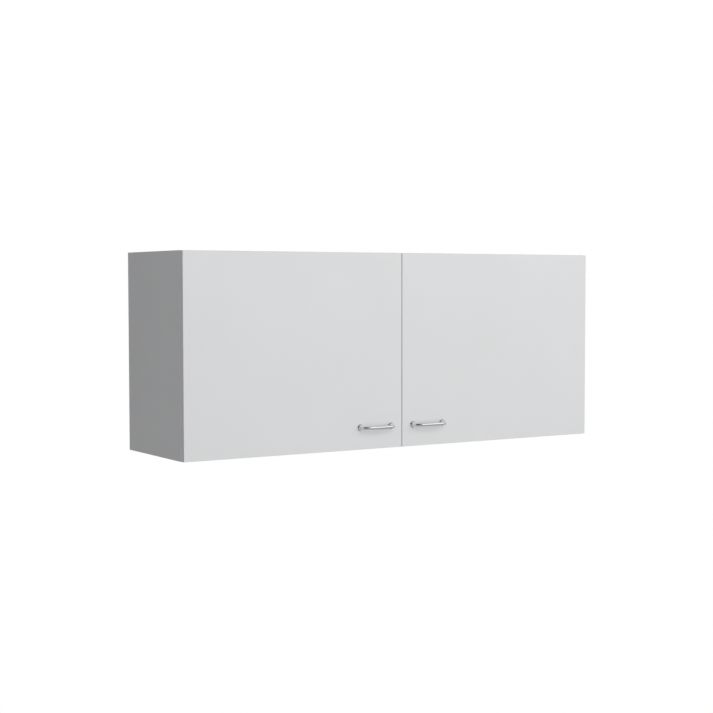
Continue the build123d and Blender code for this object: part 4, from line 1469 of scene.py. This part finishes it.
@dataclass
class Hangers:
    """A housing, a hook, a wall plate and two adjusting screws in each top rear corner."""

    screw_head: float = 0.003
    screw_radius: float = 0.003
    screw_pitch: float = 0.001
    screw_point: float = 0.08

    def build(self) -> None:
        """Dresses the hangers and makes their screws."""
        for side in SIDES:
            WHITE_PLASTIC.dress(cad(f"{side}_hanger_housing"))
            PRESSED_STEEL.dress(cad(f"{side}_hanger_hook"), cad(f"{side}_wall_plate"))
        for name in ("hanger_height_screws", "hanger_depth_screws"):
            low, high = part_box(name)
            radius, seat = (high.z - low.z) / 2, low.y + self.screw_head
            length = high.y - seat
            shape = ScrewShape(
                radius, self.screw_head, self.screw_radius, length, self.screw_pitch, point=self.screw_point
            )
            level = (low.z + high.z) / 2
            ends = (low.x + radius, high.x - radius)
            spots = [Spot.at(end, seat, level, 0, -1, 0) for end in ends]
            screws = repeat(f"{name}_turned", shape.build(), spots, PRESSED_STEEL, spin=SCREW_SPIN)
            settle(screws, "carcass", "nickel_steel", name)


@dataclass
class Knockdown:
    """Cams, bolts, dowels, partition screws and cover caps, which hold the boards together."""

    cap_edge: float = 0.0003
    cap_radius: float = 0.0075
    cap_thick: float = 0.001
    dish_rings: Pair = (0.82, 0.78)
    dish_depth: float = 0.00012
    screw_head: float = 0.003
    screw_shank: float = 0.0034
    screw_length: float = 0.047
    screw_pitch: float = 0.003
    screw_point: float = 0.15
    screw_edge: float = 0.0003
    screw_thread: float = 0.3
    screw_spin: float = 0.5

    def build(self) -> None:
        """Dresses the hidden fittings and makes the visible ones."""
        NICKEL.dress(cad("cam_bolts"))
        ZINC.dress(cad("cam_locks"))
        BEECH.dress(cad("dowels"))
        self.build_caps()
        self.build_partition_screws()

    def build_caps(self) -> None:
        """Eight thin caps over the cams, each with a slightly dished face."""
        low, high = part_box("cam_caps")
        top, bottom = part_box("top_panel")[1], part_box("bottom_panel")[1]
        radius, thick = self.cap_radius, self.cap_thick
        rim = arc((radius - self.cap_edge, thick - self.cap_edge), self.cap_edge, 0.0, 90.0, 4)
        outer, inner = (radius * ring for ring in self.dish_rings)
        floor = thick - self.dish_depth
        dish = [(outer, thick), (inner, floor), (0.0, floor)]
        rows = [(0.0, 0.0), (radius, 0.0), *rim, *dish]
        spots = []
        for height in (top.z - thick, bottom.z - thick):
            for x in (low.x + radius, high.x - radius):
                for y in (low.y + radius, high.y - radius):
                    spots.append(Spot.at(x, y, height, 0, 0, 1))
        caps = repeat("cover_caps", mesh_piece("cap", lathe(rows, 48)), spots, GREY_PLASTIC)
        settle(caps, "carcass", "grey_plastic", "cam_caps")

    def build_partition_screws(self) -> None:
        """Four long screws with a hexagon hole, sunk in the top and the bottom panel."""
        low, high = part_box("partition_screws")
        radius = (high.x - low.x) / 2
        shape = ScrewShape(
            radius,
            self.screw_head,
            self.screw_shank,
            self.screw_length,
            self.screw_pitch,
            Recess.HEXAGON,
            self.screw_point,
            self.screw_edge,
            self.screw_thread,
        )
        spots = []
        for seat, way in ((low.z + self.screw_head, -1), (high.z - self.screw_head, 1)):
            for y in (low.y + radius, high.y - radius):
                spots.append(Spot.at(0.0, y, seat, 0, 0, way))
        screws = repeat("partition_long_screws", shape.build(), spots, PRESSED_STEEL, spin=self.screw_spin)
        settle(screws, "carcass", "nickel_steel", "partition_screws")


@dataclass
class ShelfPins:
    """Pins with a peg in the board and a rounded platform under the shelf."""

    peg_radius: float = 0.0025
    platform: Triple = (0.009, 0.008, 0.003)
    corner: float = 0.0025
    soft: float = 0.0004
    bevel_steps: int = 3
    groove: tuple[float, float, float, float] = (0.4, 0.45, 0.55, 0.6)
    waist: float = 0.92

    def build(self) -> None:
        """Makes eight pins."""
        low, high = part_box("shelf_pins")
        half = self.platform[1] / 2
        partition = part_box("centre_partition")
        spots = []
        for y in (low.y + half, high.y - half):
            for side, way in SIDES.items():
                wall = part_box(f"{side}_side_panel")[1 if way < 0 else 0].x
                middle = partition[1 if way > 0 else 0].x
                spots.append(Spot.at(wall, y, high.z, -way, 0, 0))
                spots.append(Spot.at(middle, y, high.z, way, 0, 0))
        pins = repeat("nickel_shelf_pins", self.pin(low, high), spots, NICKEL, Turn.UPRIGHT)
        settle(pins, "carcass", "nickel_steel", "shelf_pins")

    def pin(self, low: Vector, high: Vector) -> Piece:
        """One pin that points along X, with the top of its platform at height zero.

        Args:
            low: The lowest corner of all the pins.
            high: The highest corner of all the pins.

        Returns:
            The pin.
        """
        long, wide, thick = self.platform
        nose = arc((long - self.corner, wide / 2 - self.corner), self.corner, 90.0, 0.0, 6)
        nose += [(x, -y) for x, y in reversed(nose)]
        mesh = prism([(0.0, wide / 2), *nose, (0.0, -wide / 2)], -thick, 0.0)
        bmesh.ops.recalc_face_normals(mesh, faces=mesh.faces)
        rounding = {"offset": self.soft, "segments": self.bevel_steps, "profile": 0.5}
        bmesh.ops.bevel(mesh, geom=mesh.edges[:], affect="EDGES", **rounding)
        depth = high.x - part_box("right_side_panel")[0].x
        tip = arc((self.peg_radius - self.soft, depth - self.soft), self.soft, 0.0, 90.0, 4)
        narrow = self.peg_radius * self.waist
        reaches = (self.peg_radius, narrow, narrow, self.peg_radius)
        groove = [(reach, depth * part) for reach, part in zip(reaches, self.groove)]
        peg = lathe([(0.0, 0.0), (self.peg_radius, 0.0), *groove, *tip, (0.0, depth)], 32)
        centre = low.z - high.z + self.peg_radius
        bmesh.ops.rotate(peg, verts=peg.verts, cent=(0, 0, 0), matrix=Matrix.Rotation(-math.pi / 2, 3, "Y"))
        bmesh.ops.translate(peg, verts=peg.verts, vec=(0.0, 0.0, centre))
        piece = mesh_piece("peg", peg)
        mesh.from_mesh(piece.data)
        discard(piece)
        return mesh_piece("pin", mesh)


def main() -> None:
    """Builds the cabinet's looks in order."""
    logging.basicConfig(level=logging.INFO, format="%(name)s: %(message)s")
    for assembly in (Carcass(), Doors(), Handles(), Hinges(), ShelfPins(), Knockdown(), Hangers(), Studio()):
        assembly.build()
        LOG.info("%s is done", type(assembly).__name__)


if __name__ == "__main__":
    main()
